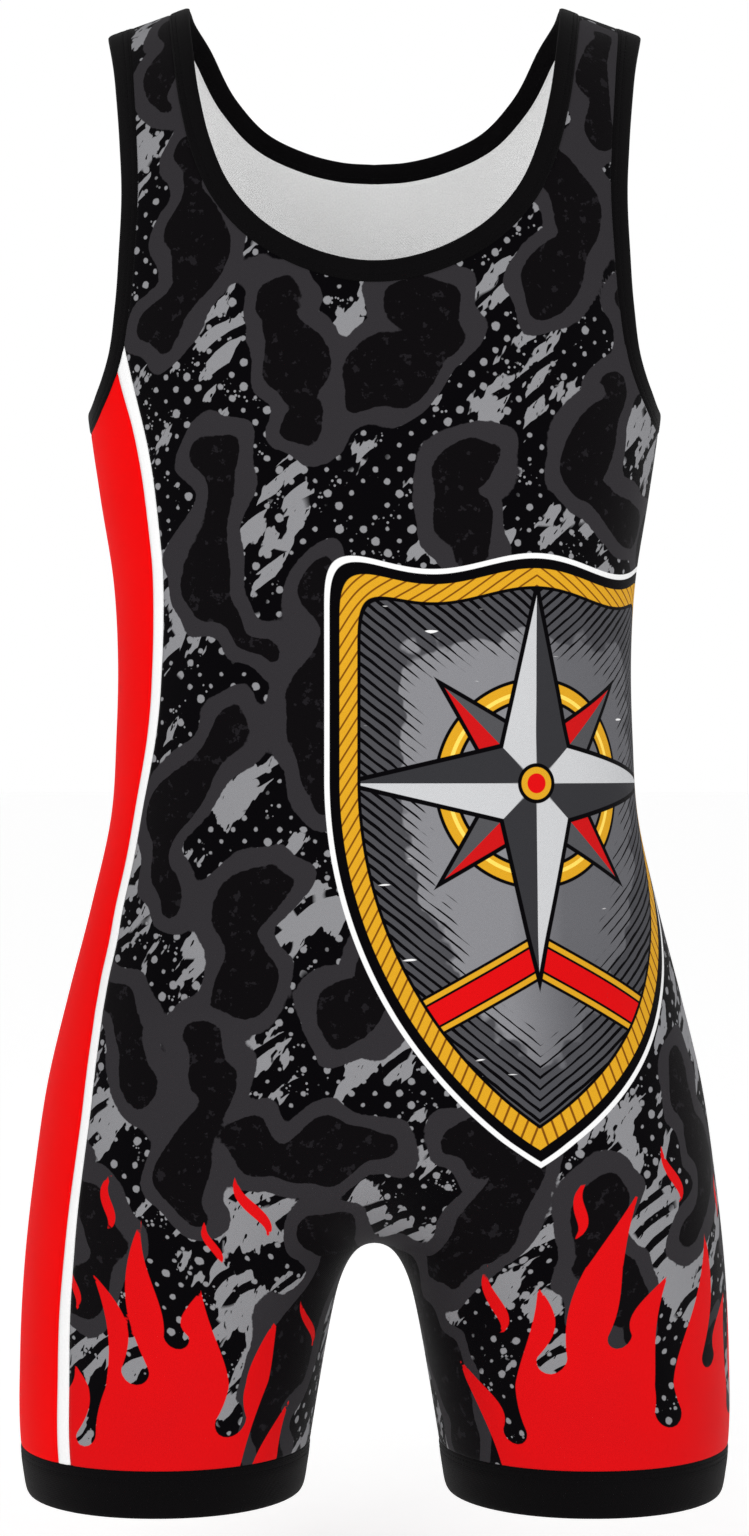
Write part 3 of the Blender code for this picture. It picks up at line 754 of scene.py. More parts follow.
class Value:
    """What a material's node gives, which can be reckoned with."""

    def __init__(self, finish, socket):
        self.finish = finish
        self.socket = socket

    def maths(self, operation, *values, clamp=False):
        sockets = dict(enumerate(values))
        return self.finish.node("Math", sockets, operation=operation, use_clamp=clamp)

    __add__ = __radd__ = with_other("ADD")
    __mul__ = __rmul__ = with_other("MULTIPLY")
    __sub__ = with_other("SUBTRACT")
    __truediv__ = with_other("DIVIDE")
    __pow__ = with_other("POWER")
    least = with_other("MINIMUM")
    most = with_other("MAXIMUM")

    def __rsub__(self, other):
        return self.maths("SUBTRACT", other, self)

    def __abs__(self):
        return self.maths("ABSOLUTE", self)

    def wave(self, length):
        """A wave between -1 and 1 that repeats at a length."""
        return self.maths("SINE", self * (2 * math.pi / length))

    def over(self, edge, soft):
        """1 where this is over an edge, 0 where it is under, with a soft step between."""
        return self.maths("MULTIPLY_ADD", self - edge, 1 / soft, 0.5, clamp=True)

    def under(self, edge, soft):
        """1 where this is under an edge, 0 where it is over, with a soft step between."""
        return self.maths("MULTIPLY_ADD", self - edge, -1 / soft, 0.5, clamp=True)

    def output(self, out):
        """What another output of the same node gives."""
        return Value(self.finish, self.socket.node.outputs[out])


class Finish:
    """A material in the making."""

    def __init__(self, name, roughness, sheen=0.0):
        self.material = bpy.data.materials.new(name)
        self.material.use_nodes = True
        self.tree = self.material.node_tree
        self.shader = self.tree.nodes["Principled BSDF"]
        self.shader.inputs["Roughness"].default_value = roughness
        self.shader.inputs["Sheen Weight"].default_value = sheen
        self.shader.inputs["Sheen Roughness"].default_value = 0.45
        self.shader.inputs["Specular IOR Level"].default_value = 0.02

    def node(self, kind, values, out=0, stops=(), **settings):
        """Adds a node: its settings and ramp stops first, then its sockets' values or links."""
        node = self.tree.nodes.new("ShaderNode" + kind)
        for name, setting in settings.items():
            setattr(node, name, setting)
        for place, colour in stops:
            stop = node.color_ramp.elements.new(place)
            stop.color = (*colour, 1.0)
        for name, value in values.items():
            self.feed(node.inputs[name], value)
        return Value(self, node.outputs[out])

    def feed(self, socket, value):
        """Links a value to a socket, or sets it there."""
        if isinstance(value, Value):
            self.tree.links.new(value.socket, socket)
        elif isinstance(value, tuple) and len(value) == 3 and socket.type == "RGBA":
            socket.default_value = (*value, 1.0)
        else:
            socket.default_value = value

    def flat(self):
        """The place on the flat cut: across from the middle, and down from the shoulder."""
        place = self.node("Attribute", {}, out="Vector", attribute_name="flat")
        across = self.node("SeparateXYZ", {0: place})
        return place, across, across.output(1)

    def speckle(self, place, scale, detail=2.0, rough=0.5):
        """Even cloudy noise, about 0.5."""
        values = {"Vector": place, "Scale": scale, "Detail": detail, "Roughness": rough}
        return self.node("TexNoise", values, out="Fac")

    def mix(self, factor, first, second):
        """A colour between two: the first where the factor is 0."""
        values = {0: factor, 6: first, 7: second}
        return self.node("Mix", values, out=2, data_type="RGBA")

    def paint(self, colour):
        """Sets the colour."""
        self.feed(self.shader.inputs["Base Color"], colour)

    def knit(self, u, v, across=0.0012, down=0.0010, strength=0.5):
        """Gives the surface the fine loops of a stretch knit, as a low relief."""
        loops = u.wave(across) * v.wave(down)
        values = {"Height": loops, "Distance": LOOP_HEIGHT, "Strength": strength}
        self.feed(self.shader.inputs["Normal"], self.node("Bump", values, out="Normal"))

    def yarns(self, place):
        """The small differences between yarns, by which the roughness varies too."""
        yarns = self.speckle(place, 1100.0, 1.0)
        self.feed(self.shader.inputs["Roughness"], yarns * 0.16 + 0.52)
        return yarns

    def heather(self, place, dark, light):
        """Gives a knit its plain colour, which is faintly uneven all over."""
        yarns = self.yarns(place)
        broad = self.speckle(place, 16.0, 1.0)
        self.paint(self.mix((yarns * 2.0 + broad - 1.0) * 0.5, dark, light))


def dye(red, green, blue):
    """A dye's colour for the shader from its shades of 0 to 255."""
    shades = (shade / 255 for shade in (red, green, blue))
    return tuple(s / 12.92 if s < 0.04045 else ((s + 0.055) / 1.055) ** 2.4 for s in shades)


def plain_knit(name, dark, light, roughness, *loops, sheen=0.0):
    """A knit of one colour, which runs from a dark shade to a light one."""
    finish = Finish(name, roughness, sheen)
    place, u, v = finish.flat()
    finish.knit(u, v, *loops)
    finish.heather(place, dark, light)
    return finish.material


JET = dye(9, 7, 9)
INK = dye(3, 2, 4)
SLATE = dye(46, 44, 47)
ASH = dye(134, 134, 137)
FLAME_RED = dye(214, 12, 16)
GOLD = dye(214, 158, 34)
BRASS = dye(120, 70, 12)
STEEL = dye(98, 98, 102)
PALE_STEEL = dye(130, 130, 134)
CHALK = dye(236, 236, 236)

# The print: the width of an island's border, the fillet where two islands run together, how far
# apart the dots lie, the waves along which outlines wander and how far they push them, the
# distance beyond which nothing is drawn, and the lobes that make up an island or a lick of flame
BORDER = 0.0092
FILLET = 0.008
DOT_SPACING = 0.0088
WAVES = (0.024, 0.033, 0.047)
WANDER = 0.0014
FAR = 0.06
LOBES = 21

# Its near-black islands: where each one's middle lies on the flat cut, across from the middle and
# down from the shoulder, its length and width, its lean in degrees, and how far its lower end
# hooks sideways, as a share of its width
Island = namedtuple("Island", "across down length width lean hook")
FRONT_ISLANDS = table(
    Island,
    (-0.116, 0.040, 0.074, 0.023, 2, 0.3),
    (-0.098, 0.144, 0.118, 0.036, 12, -0.2),
    (-0.046, 0.204, 0.094, 0.034, 6, 0.4),
    (0.018, 0.196, 0.082, 0.042, -4, -0.3),
    (0.096, 0.134, 0.104, 0.038, 8, 0.3),
    (0.124, 0.254, 0.102, 0.036, -8, 0.5),
    (-0.086, 0.306, 0.128, 0.029, -8, 0.9),
    (-0.022, 0.376, 0.138, 0.040, -12, -0.3),
    (-0.104, 0.434, 0.122, 0.030, 26, 0.6),
    (-0.062, 0.506, 0.096, 0.036, 12, -0.5),
    (-0.138, 0.556, 0.088, 0.028, -22, 0.4),
    (-0.096, 0.602, 0.118, 0.030, 2, 0.5),
    (-0.156, 0.660, 0.092, 0.028, 4, -0.3),
    (-0.036, 0.620, 0.092, 0.038, -58, 0.6),
    (-0.006, 0.536, 0.066, 0.036, 14, 0.3),
    (0.066, 0.632, 0.092, 0.040, -36, -0.7),
    (0.128, 0.676, 0.104, 0.034, -6, 0.5),
    (0.190, 0.618, 0.112, 0.033, -4, -0.5),
    # This island at the inner thigh of the wearer's right leg is printed, and drawn large so that
    # its black also stands for the shade there: partly print, partly painted shade
    (-0.046, 0.724, 0.160, 0.044, 6, -0.2),
    (0.034, 0.734, 0.130, 0.044, -8, 0.2),
    (0.214, 0.748, 0.084, 0.032, 4, 0.3),
    (0.126, 0.046, 0.086, 0.024, -3, -0.4),
    (0.148, 0.170, 0.080, 0.022, -4, 0.3),
    (0.046, 0.270, 0.072, 0.034, 34, 0.4),
    (0.188, 0.330, 0.104, 0.034, 4, 0.5),
    (0.218, 0.456, 0.112, 0.034, -3, -0.4),
    (0.240, 0.566, 0.100, 0.032, 6, 0.4),
    (0.262, 0.690, 0.104, 0.034, -5, -0.5),
)


def scattered(seed, across, down):
    """Islands for a panel that nobody drew by hand, in uneven columns."""
    chance = np.random.default_rng(seed)
    found = []
    for k, column in enumerate(np.arange(-across, across + 0.001, 0.060)):
        for row in np.arange(0.02 + 0.065 * (k % 2), down, 0.128):
            middle = (column, row) + chance.uniform(-0.010, 0.010, 2)
            size = chance.uniform((0.084, 0.030), (0.124, 0.040))
            lean, hook = chance.uniform((-22, -0.7), (22, 0.7))
            found.append(Island(*middle, *size, lean, hook))
    return found


def lobes(island, chance):
    """The middles and radii of the round lobes down an island's bent middle line."""
    shares = np.linspace(-0.5, 0.5, LOBES)
    along = shares * (island.length - 0.8 * island.width)
    sway, phase, swell = chance.uniform((0.20, 0.0, 0.07), (0.42, 2 * math.pi, 0.15))
    waves = sway * np.sin(1.6 * math.pi * shares + phase)
    aside = island.width * (waves + island.hook * np.clip(2 * shares, 0, 1) ** 1.5)
    lean = math.radians(island.lean)
    across = island.across - along * math.sin(lean) + aside * math.cos(lean)
    down = island.down + along * math.cos(lean) + aside * math.sin(lean)
    swells = swell * np.sin(3.3 * math.pi * shares + 2 * phase)
    radius = island.width * (0.35 + swells - 0.08 * np.abs(2 * shares) ** 3)
    return np.stack([across, down, radius], axis=1)


def distance(points, chain):
    """How far points lie outside a chain of lobes, each joined to the next by a taper."""
    nearest = np.full(len(points), FAR)
    for first, last in zip(chain[:-1], chain[1:]):
        way = last[:2] - first[:2]
        share = np.clip((points - first[:2]) @ way / (way @ way), 0, 1)
        off = np.linalg.norm(points - first[:2] - share[:, None] * way, axis=1)
        nearest = np.minimum(nearest, off - first[2] - share * (last[2] - first[2]))
    return nearest


def wandering(points, seed):
    """Places pushed about a little by slow waves, so that outlines drawn on them wander."""
    chance = np.random.default_rng(seed)
    pushed = points.copy()
    for wave in WAVES:
        for axis in (0, 1):
            angle, phase = chance.uniform(0, 2 * math.pi, 2)
            ripple = points @ (math.cos(angle), math.sin(angle)) * 2 * math.pi / wave
            pushed[:, axis] += WANDER * np.sin(ripple + phase)
    return pushed


def islands_at(points, islands, seed):
    """How far each place on the flat cut lies outside the nearest island."""
    chance = np.random.default_rng(seed)
    pushed = wandering(points, seed)
    nearest = np.full(len(points), FAR)
    for island in islands:
        chain = lobes(island, chance)
        near = np.abs(pushed - (island.across, island.down)).max(axis=1) < island.length
        known, gap = nearest[near], distance(pushed[near], chain)
        share = np.clip(0.5 + 0.5 * (known - gap) / FILLET, 0, 1)
        nearest[near] = known + (gap - known) * share - FILLET * share * (1 - share)
    return nearest


# The flames: each leg has a bed whose top edge runs from tip to tip, with a round notch between
# them, and loose licks above. All lie across from the middle and above the leg band; a tip's
# bend is how far it hooks over, and a notch's radius is 0 where the bed ends. The flames are drawn
# up to a height, with points along each curve, and steps of no length are passed over.
FLAMES_REACH = BAND_TOP - FLAMES_ABOVE + 0.03
CURVE_POINTS = 17
NO_LENGTH = 1e-12
Tip = namedtuple("Tip", "across height bend")
Notch = namedtuple("Notch", "across height radius")
BEDS = (
    (
        Notch(-0.290, -0.008, 0.0), Tip(-0.236, 0.092, 0.008),
        Notch(-0.208, 0.018, 0.0065), Tip(-0.184, 0.058, -0.008),
        Notch(-0.170, 0.018, 0.0055), Tip(-0.160, 0.106, -0.010),
        Notch(-0.147, 0.054, 0.0070), Tip(-0.121, 0.138, 0.012),
        Notch(-0.122, 0.072, 0.0060), Tip(-0.102, 0.098, 0.006),
        Notch(-0.093, 0.026, 0.0085), Tip(-0.064, 0.080, 0.012),
        Notch(-0.082, -0.008, 0.0),
    ),
    (Notch(-0.076, -0.008, 0.0), Tip(-0.052, 0.036, 0.008), Notch(-0.056, -0.008, 0.0)),
    (
        Notch(0.078, -0.008, 0.0), Tip(0.058, 0.056, -0.012),
        Notch(0.090, 0.020, 0.0065), Tip(0.098, 0.100, -0.009),
        Notch(0.114, 0.060, 0.0075), Tip(0.141, 0.152, 0.012),
        Notch(0.147, 0.072, 0.0060), Tip(0.168, 0.104, 0.008),
        Notch(0.176, 0.030, 0.0080), Tip(0.194, 0.124, -0.008),
        Notch(0.210, 0.056, 0.0060), Tip(0.232, 0.088, 0.008),
        Notch(0.240, 0.026, 0.0070), Tip(0.260, 0.112, 0.009),
        Notch(0.274, 0.036, 0.0060), Tip(0.294, 0.070, 0.006),
        Notch(0.330, -0.008, 0.0),
    ),
)
Lick = namedtuple("Lick", "across height length width lean")
LICKS = table(
    Lick,
    (-0.146, 0.126, 0.036, 0.0070, 0.014),
    (-0.062, 0.122, 0.040, 0.0074, -0.008),
    (-0.092, 0.108, 0.030, 0.0056, 0.006),
    (-0.040, 0.056, 0.036, 0.0060, -0.006),
    (-0.178, 0.082, 0.040, 0.0060, 0.012),
    (0.082, 0.070, 0.042, 0.0074, -0.008),
    (0.106, 0.122, 0.038, 0.0068, 0.008),
    (0.166, 0.138, 0.036, 0.0066, -0.010),
    (0.216, 0.124, 0.030, 0.0056, 0.006),
)


def curve(*controls):
    """Points on the cubic curve that four points control, without its end."""
    t = np.linspace(0, 1, CURVE_POINTS)[:-1, None]
    a, b, c, d = (np.array(control) for control in controls)
    return (1 - t) ** 3 * a + 3 * t * (1 - t) ** 2 * b + 3 * t * t * (1 - t) * c + t**3 * d


def bed_outline(bed):
    """The points round a bed of flames, across and above the leg band."""
    parts = []
    for before, tip, after in zip(bed[:-2:2], bed[1::2], bed[2::2]):
        top = (tip.across, tip.height)
        for notch, way in ((before, 1), (after, -1)):
            rise = tip.height - notch.height
            foot = (notch.across + way * notch.radius, notch.height)
            neck = (foot[0] - way * 1.2 * notch.radius, notch.height + 0.32 * rise)
            hook = 1.9 if way * tip.bend > 0 else 1.3
            waist = (tip.across - hook * tip.bend - way * 0.05 * rise, tip.height - 0.45 * rise)
            ends = (foot, neck, waist, top)
            parts.append(curve(*(ends if way > 0 else ends[::-1])))
        turn = np.linspace(math.pi, 2 * math.pi, 12)
        bottom = np.stack([np.cos(turn), np.sin(turn)], axis=1) * after.radius
        parts.append(bottom + (after.across, after.height))
    return np.vstack(parts)


def outside_outline(points, outline):
    """How far places lie outside a closed outline, below zero inside it."""
    nearest = np.full(len(points), FAR)
    inside = np.zeros(len(points), bool)
    for first, last in zip(outline, np.roll(outline, -1, axis=0)):
        way = last - first
        if way @ way < NO_LENGTH:
            continue
        share = np.clip((points - first) @ way / (way @ way), 0, 1)
        off = np.linalg.norm(points - first - share[:, None] * way, axis=1)
        nearest = np.minimum(nearest, off)
        passes = (first[1] > points[:, 1]) != (last[1] > points[:, 1])
        reach = (points[:, 1] - first[1]) * way[0] - (points[:, 0] - first[0]) * way[1]
        inside ^= passes & (reach * math.copysign(1, way[1]) > 0)
    return np.where(inside, -nearest, nearest)


def flames_at(points):
    """How far each place on the flat cut lies outside the flames."""
    risen = points * (1, -1) + (0, BAND_TOP)
    nearest = np.full(len(points), FAR)
    low = risen[:, 1] < FLAMES_REACH
    for bed in BEDS:
        nearest[low] = np.minimum(nearest[low], outside_outline(risen[low], bed_outline(bed)))
    shares = np.linspace(0.05, 0.92, LOBES)
    for lick in LICKS:
        radii = 0.5 * lick.width * np.sin(math.pi * shares**0.75) ** 1.2
        sway = lick.lean * shares**1.4 + 0.12 * lick.length * np.sin(2 * math.pi * shares**0.8)
        chain = np.stack([lick.across + sway, lick.height + lick.length * shares, radii], axis=1)
        nearest[low] = np.minimum(nearest[low], distance(risen[low], chain))
    return nearest


def print_on(piece, islands, seed, room=1.0):
    """Lays the islands and the flames on a panel, which has more room across than the front."""
    mesh = piece.data
    places = np.zeros(len(mesh.vertices) * 3)
    mesh.attributes["flat"].data.foreach_get("vector", places)
    points = places.reshape(-1, 3)[:, :2]
    laid = {
        "islands": islands_at(points, islands, seed),
        "flames": flames_at(points / (room, 1)),
    }
    for name, values in laid.items():
        mesh.attributes.new(name, "FLOAT", "POINT").data.foreach_set("value", values)


# The crest on the front, on the wearer's left: a shield with a twisted gold border, and on it a
# steel compass rose over a gold ring and a red chevron, all in flat dyes with inked outlines
CREST_ACROSS = 0.086
CREST_DOWN = 0.452
SHIELD_HALF = 0.112
SHIELD_TOP = 0.148
SHIELD_SHOULDER = 0.030
SHIELD_BOW = 0.125
SHIELD_DIP = 0.0045
SHIELD_CORNER = 0.030
RING_HEIGHT = 0.028
CREST_SOFT = 0.0003


def starred(x, y, reach, waist):
    """How far places lie outside a four-pointed star, and which half of a point they are on."""
    wide = abs(x).most(abs(y))
    narrow = abs(x).least(abs(y))
    slope = (reach - waist) / waist
    gap = (wide + narrow * slope - reach) / math.hypot(1, slope)
    half = (x * y * (abs(x) - abs(y))).over(0.0, 1e-7)
    return gap, half


def layered(finish, ground, *layers):
    """Lays colours over a ground one after another, each where a value is under an edge."""
    for value, edge, colour in layers:
        ground = finish.mix(value.under(edge, CREST_SOFT), ground, colour)
    return ground


def crest(finish, u, v, ground):
    """Paints the crest over a ground colour."""
    x = u - CREST_ACROSS
    y = CREST_DOWN - v
    sunk = (y - SHIELD_SHOULDER).least(0.0)
    reach = (abs(x) + SHIELD_BOW) ** 2.0 + sunk * sunk
    side = reach ** 0.5 - (SHIELD_BOW + SHIELD_HALF)
    dip = (x.maths("COSINE", x * (2 * math.pi / SHIELD_HALF)) - 1.0) * SHIELD_DIP
    top = y - SHIELD_TOP - dip
    edge = x.maths("SMOOTH_MAX", side, top, SHIELD_CORNER)

    # The field's steel, shaded darker towards its rim in hard steps, with inked strokes that
    # run in from the rim to uneven lengths
    place = finish.node("CombineXYZ", {0: x, 1: y})
    uneven = finish.speckle(place, 55.0) - 0.5
    light = finish.mix(x.over(0.0, 0.03), PALE_STEEL, STEEL)
    light = finish.mix((edge + uneven * 0.03).over(-0.040, 0.002), light, dye(72, 72, 76))
    shade = ((edge + uneven * 0.05 + 0.066) / 0.045).least(1.0).most(0.0)
    strokes = (abs(x) * 0.8 - y + uneven * 0.002).wave(0.0056).over(1.34 - shade * 1.05, 0.10)
    field = finish.mix(strokes, light, INK)
    glints = finish.node("CombineXYZ", {0: x * 40.0, 1: y * 230.0})
    field = finish.mix(finish.speckle(glints, 1.0, 1.0).over(0.75, 0.02), field, CHALK)

    # The chevron and the ring, then the small star under the large one, and the boss
    beam = abs(y + abs(x) * 0.55 + 0.062)
    beams = ((0.0125, INK), (0.0108, GOLD), (0.0078, INK), (0.0064, FLAME_RED))
    field = layered(finish, field, *((beam, *layer) for layer in beams))
    height = y - RING_HEIGHT
    radius = (x * x + height * height) ** 0.5
    ring = abs(radius - 0.049)
    glint = abs(radius - 0.0478)
    rings = ((ring, 0.0062, INK), (ring, 0.0044, GOLD), (glint, 0.0010, dye(250, 214, 96)))
    field = layered(finish, field, *rings)
    turned = ((x + height) * math.sqrt(0.5), (height - x) * math.sqrt(0.5))
    for spot, size, outline, shades in (
        (turned, (0.070, 0.0150), 0.0022, (dye(78, 78, 81), dye(196, 20, 22))),
        ((x, height), (0.098, 0.0185), 0.0024, (dye(50, 50, 53), dye(194, 195, 197))),
    ):
        gap, half = starred(*spot, *size)
        facets = finish.mix(half, *shades)
        field = layered(finish, field, (gap, outline, INK), (gap, 0.0, facets))
    boss = ((0.0105, INK), (0.0085, GOLD), (0.0052, FLAME_RED))
    field = layered(finish, field, *((radius, *layer) for layer in boss))

    # The rim: twisted rope between two inked lines, and a white edge round all
    twist = (abs(x) + y + edge * 0.6).wave(0.0085).over(0.80, 0.25)
    rope = finish.mix(twist, GOLD, BRASS)
    rope = finish.mix(abs(edge + 0.0125).over(0.0046, CREST_SOFT), rope, INK)
    for start, colour in ((-0.0188, rope), (-0.0066, INK), (-0.0027, CHALK)):
        field = finish.mix(edge.over(start, CREST_SOFT), field, colour)
    return layered(finish, ground, (edge, 0.0, field))


def print_dyes(finish, with_crest):
    """The printed knit's colours."""
    place, u, v = finish.flat()
    islands = finish.node("Attribute", {}, out="Fac", attribute_name="islands")
    flames = finish.node("Attribute", {}, out="Fac", attribute_name="flames")
    frayed = islands + (finish.speckle(place, 260.0) - 0.5) * 0.0016

    # Streaks lean to the right; the patches and cracks of the ground are cut from them
    along = u * 0.50 - v * 0.866
    across = u * 0.866 + v * 0.50
    streak = finish.node("CombineXYZ", {0: across * 70.0, 1: along * 26.0})
    patches = finish.speckle(streak, 1.0, 3.0, 0.58)
    fine = finish.node("CombineXYZ", {0: across * 330.0, 1: along * 95.0})
    cracks = finish.speckle(fine, 1.0, 2.0, 0.6)
    region = finish.speckle(place, 19.0, 1.0)
    torn = patches + region * 1.1 + v * 0.14
    pale = torn.over(1.165, 0.010) * cracks.under(0.655, 0.02)
    slashes = (u * 0.574 + v * 0.819 + patches * 0.004 + region * 0.02).wave(0.0115)
    slashed = slashes.over(0.30, 0.08) * finish.speckle(place, 31.0, 1.0).over(0.49, 0.02)
    pale = pale * (1.0 - slashed)

    # A worn screen of dots in slanting rows, no two of one size, with grit between them
    rows = math.sqrt(0.5) / DOT_SPACING
    turned = finish.node("CombineXYZ", {0: (u + v) * rows, 1: (u - v) * rows})
    dots = finish.node("TexVoronoi", {"Vector": turned, "Scale": 1.0, "Randomness": 0.06})
    cell = finish.node("SeparateColor", {0: dots.output("Color")})
    ragged = (finish.speckle(place, 420.0, 1.0) - 0.5) * 0.12
    dotted = (dots + ragged - cell * cell * 0.15 - 0.11).under(0.0, 0.05)
    dotted = dotted * cell.over(0.10, 0.02)
    grains = finish.node("TexVoronoi", {"Vector": place, "Scale": 360.0, "Randomness": 1.0})
    sown = finish.speckle(place, 70.0, 1.0).over(0.60, 0.04)
    dotted = dotted.most(grains.under(0.24, 0.06) * sown)
    worn = dotted * finish.speckle(place, 22.0, 1.0).over(0.33, 0.03)

    ground = finish.mix(pale.most(worn), INK, ASH)
    scuffs = finish.speckle(place, 130.0, 3.0, 0.7).over(0.61, 0.04)
    jet = finish.mix(scuffs, JET, dye(27, 25, 28))
    width = (finish.speckle(place, 28.0, 1.0) - 0.5) * 0.008 + BORDER
    coloured = finish.mix((frayed - width).under(0.0, 0.0005), ground, SLATE)
    coloured = finish.mix(frayed.under(0.0, 0.0005), coloured, jet)
    lit = finish.mix(flames.over(-0.010, 0.03), dye(208, 13, 18), FLAME_RED)
    coloured = finish.mix(flames.under(-0.0005, 0.0004), coloured, lit)
    if with_crest:
        coloured = crest(finish, u, v, coloured)
    finish.paint(coloured)
    finish.yarns(place)
    finish.knit(u, v)


wrong_side = plain_knit(
    "wrong_side_of_knit", dye(230, 230, 230), dye(250, 250, 250), 0.8, 0.0019, 0.0016
)
levels = body_levels()
sides = ("left", "right")
yokes = {(face, side): Yoke(face, side) for face in ("front", "back") for side in sides}


def panel_grids(face):
    """All of the front's or the back's points."""
    grids = []
    for side in sides:
        grids += placed([body_grid(face, side, levels), *yokes[face, side].grids()], side)
    return grids


front = sewn("singlet_front", panel_grids("front"))
print_on(front, FRONT_ISLANDS, 11)
printed_front = Finish("printed_knit_front", 0.62, sheen=0.03)
print_dyes(printed_front, True)
walled(front, printed_front.material)
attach(front, "root")
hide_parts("front")


# The back: cut like the front, with a higher neck and more room at the seat.

BACK_ROOM = calm_length("back", BAND_TOP) / calm_length("front", BAND_TOP)

back = sewn("singlet_back", panel_grids("back"))
print_on(back, scattered(5, 0.27, 0.80), 23, BACK_ROOM)
printed_back = Finish("printed_knit_back", 0.62, sheen=0.03)
print_dyes(printed_back, False)
walled(back, printed_back.material)
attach(back, "root")
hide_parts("back")


# The side panel and the stripe: a plain red panel down the wearer's right side, from under the
# armhole to the leg band, with a narrow white strip sewn between it and the front.


class SideTop:
    """The side panel and the stripe above the join, on the wearer's right."""

    def __init__(self, ahead, behind):
        self.ahead = ahead
        self.behind = behind
        runs = runs_along(on_yoke(ahead.arm_seam))
        index = np.arange(len(runs))
        corner = np.interp(ahead.corner, index, runs) + STRIPE_SLANT
        start = np.interp(corner, runs, index)
        half = SIDE_COLUMNS // 2
        stripe_places = even_places(ahead.arm_seam, ahead.corner, start, STRIPE_COLUMNS)
        front_places = even_places(ahead.arm_seam, start, ahead.end, half)
        back_places = even_places(behind.arm_seam, behind.corner, behind.end, half)
        self.stripe_top = at_places(ahead.arm_seam, stripe_places)
        self.front_top = at_places(ahead.arm_seam, front_places)
        self.back_top = at_places(behind.arm_seam, back_places)

    def panel(self):
        """The side panel's points above the join."""
        join = body_row("side", "right", JOIN)
        top = np.vstack([self.front_top, self.back_top[-2::-1]])
        first = side_line("front", "front", self.front_top[0])
        last = side_line("back", "back", self.back_top[0])
        return with_flat(patch(charted(join), top, first, last), join)

    def stripe(self):
        """The stripe's points above the join."""
        join = body_row("stripe", "right", JOIN)
        first = self.ahead.side_seam()
        last = side_line("front", "front", self.front_top[0])
        return with_flat(patch(charted(join), self.stripe_top, first, last), join)


def with_flat(chart, join):
    """The points of a grid above the join, with their places on the flat cut."""
    down = np.interp(chart[..., 1], *flat_heights())
    across = np.broadcast_to(join[:, 3], down.shape)
    grid = np.concatenate([on_yoke(chart), across[..., None], down[..., None]], axis=-1)
    grid[0] = join
    return grid


red = plain_knit("red_knit", dye(230, 5, 7), dye(245, 12, 13), 0.60)
white = plain_knit("white_knit", CHALK, dye(248, 248, 248), 0.60)

side_top = SideTop(yokes["front", "right"], yokes["back", "right"])
grids = [body_grid("side", "right", levels), side_top.panel()]
side_panel = sewn("singlet_side_panel", placed(grids, "right"))
walled(side_panel, red)
grids = [body_grid("stripe", "right", levels), side_top.stripe()]
stripe = sewn("singlet_stripe", placed(grids, "right"))
walled(stripe, white)
for piece, slot, node in (
    (side_panel, "red_knit", "side_panel"),
    (stripe, "white_knit", "side_stripe"),
):
    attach(piece, "root")
    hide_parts(node)


# The neck and armhole bindings: black elastic knit tape, folded round the raw edges and held by
# two rows of cover stitches. Each is a closed loop, a little plumper than the panels.

# A tape's half thickness, how far it laps past its seam, the columns and rows of its mesh, where
# its stitches lie as shares of its width, and the grooves that they press into it
TAPE_HALF = 0.00115
TAPE_LAP = 0.0007
TAPE_COLUMNS = 12
NECK_ROWS = {"front": 100, "back": 64}
ARMHOLE_ROWS = 108
STITCH_ROWS = (0.66, 0.86)
GROOVE_DEPTH = 0.00022
GROOVE_HALF = 0.06


def crowned(shares, half, stitch_rows):
    """A tape's half thickness across it: round at both edges, pressed in under its stitches."""
    thick = half * np.sqrt(np.clip(1 - np.abs(2 * shares - 1) ** 5, 0.06, 1))
    for row in stitch_rows:
        thick = thick - GROOVE_DEPTH * np.exp(-(((shares - row) / GROOVE_HALF) ** 2))
    return thick


def facing(grid):
    """Directions square to a surface given as a loop of lines across it."""
    along = np.roll(grid, -1, axis=0) - np.roll(grid, 1, axis=0)
    across = np.gradient(grid, axis=1)
    normal = np.cross(along, across)
    return normal / np.linalg.norm(normal, axis=-1, keepdims=True)


def tape(name, grid, thick, material, lengths):
    """Adds a closed loop of tape, with its length and width as its place on the flat cut."""
    normal = facing(grid) * thick[None, :, None]
    ring = np.concatenate([grid + normal, (grid - normal)[:, ::-1]], axis=1)
    across = np.r_[lengths, lengths[::-1] + lengths[-1] + 0.001]
    runs = runs_along(grid[:, grid.shape[1] // 2])
    flat = np.stack(np.meshgrid(runs, across, indexing="ij"), axis=-1)
    net = woven([np.concatenate([ring, flat], axis=-1)], closed=True)
    bmesh.ops.recalc_face_normals(net, faces=net.faces)
    piece = smooth_piece(name, net)
    piece.data.materials.append(material)
    return piece


def looped(parts):
    """One closed loop of lines from stretches that follow one another and share their ends."""
    return np.concatenate([part[:-1] for part in parts])


def joined(first, last):
    """Two stretches that share an end, as one."""
    return np.concatenate([first[:-1], last])


def edge_tape(edge, seam, count):
    """Lines across a binding, from its fold to just past its seam."""
    first, last = (
        at_places(line, even_places(line, 0, len(line) - 1, count))[:, None]
        for line in (edge, seam)
    )
    shares = np.linspace(0, 1 + TAPE_LAP / BINDING_WIDTH, TAPE_COLUMNS + 1)[:, None]
    return on_yoke(first * (1 - shares) + last * shares)


mirror = np.array((-1, 1, 1))
black_shades = (dye(7, 6, 7), dye(14, 13, 14))
black = plain_knit("black_binding", *black_shades, 0.62, sheen=0.03)

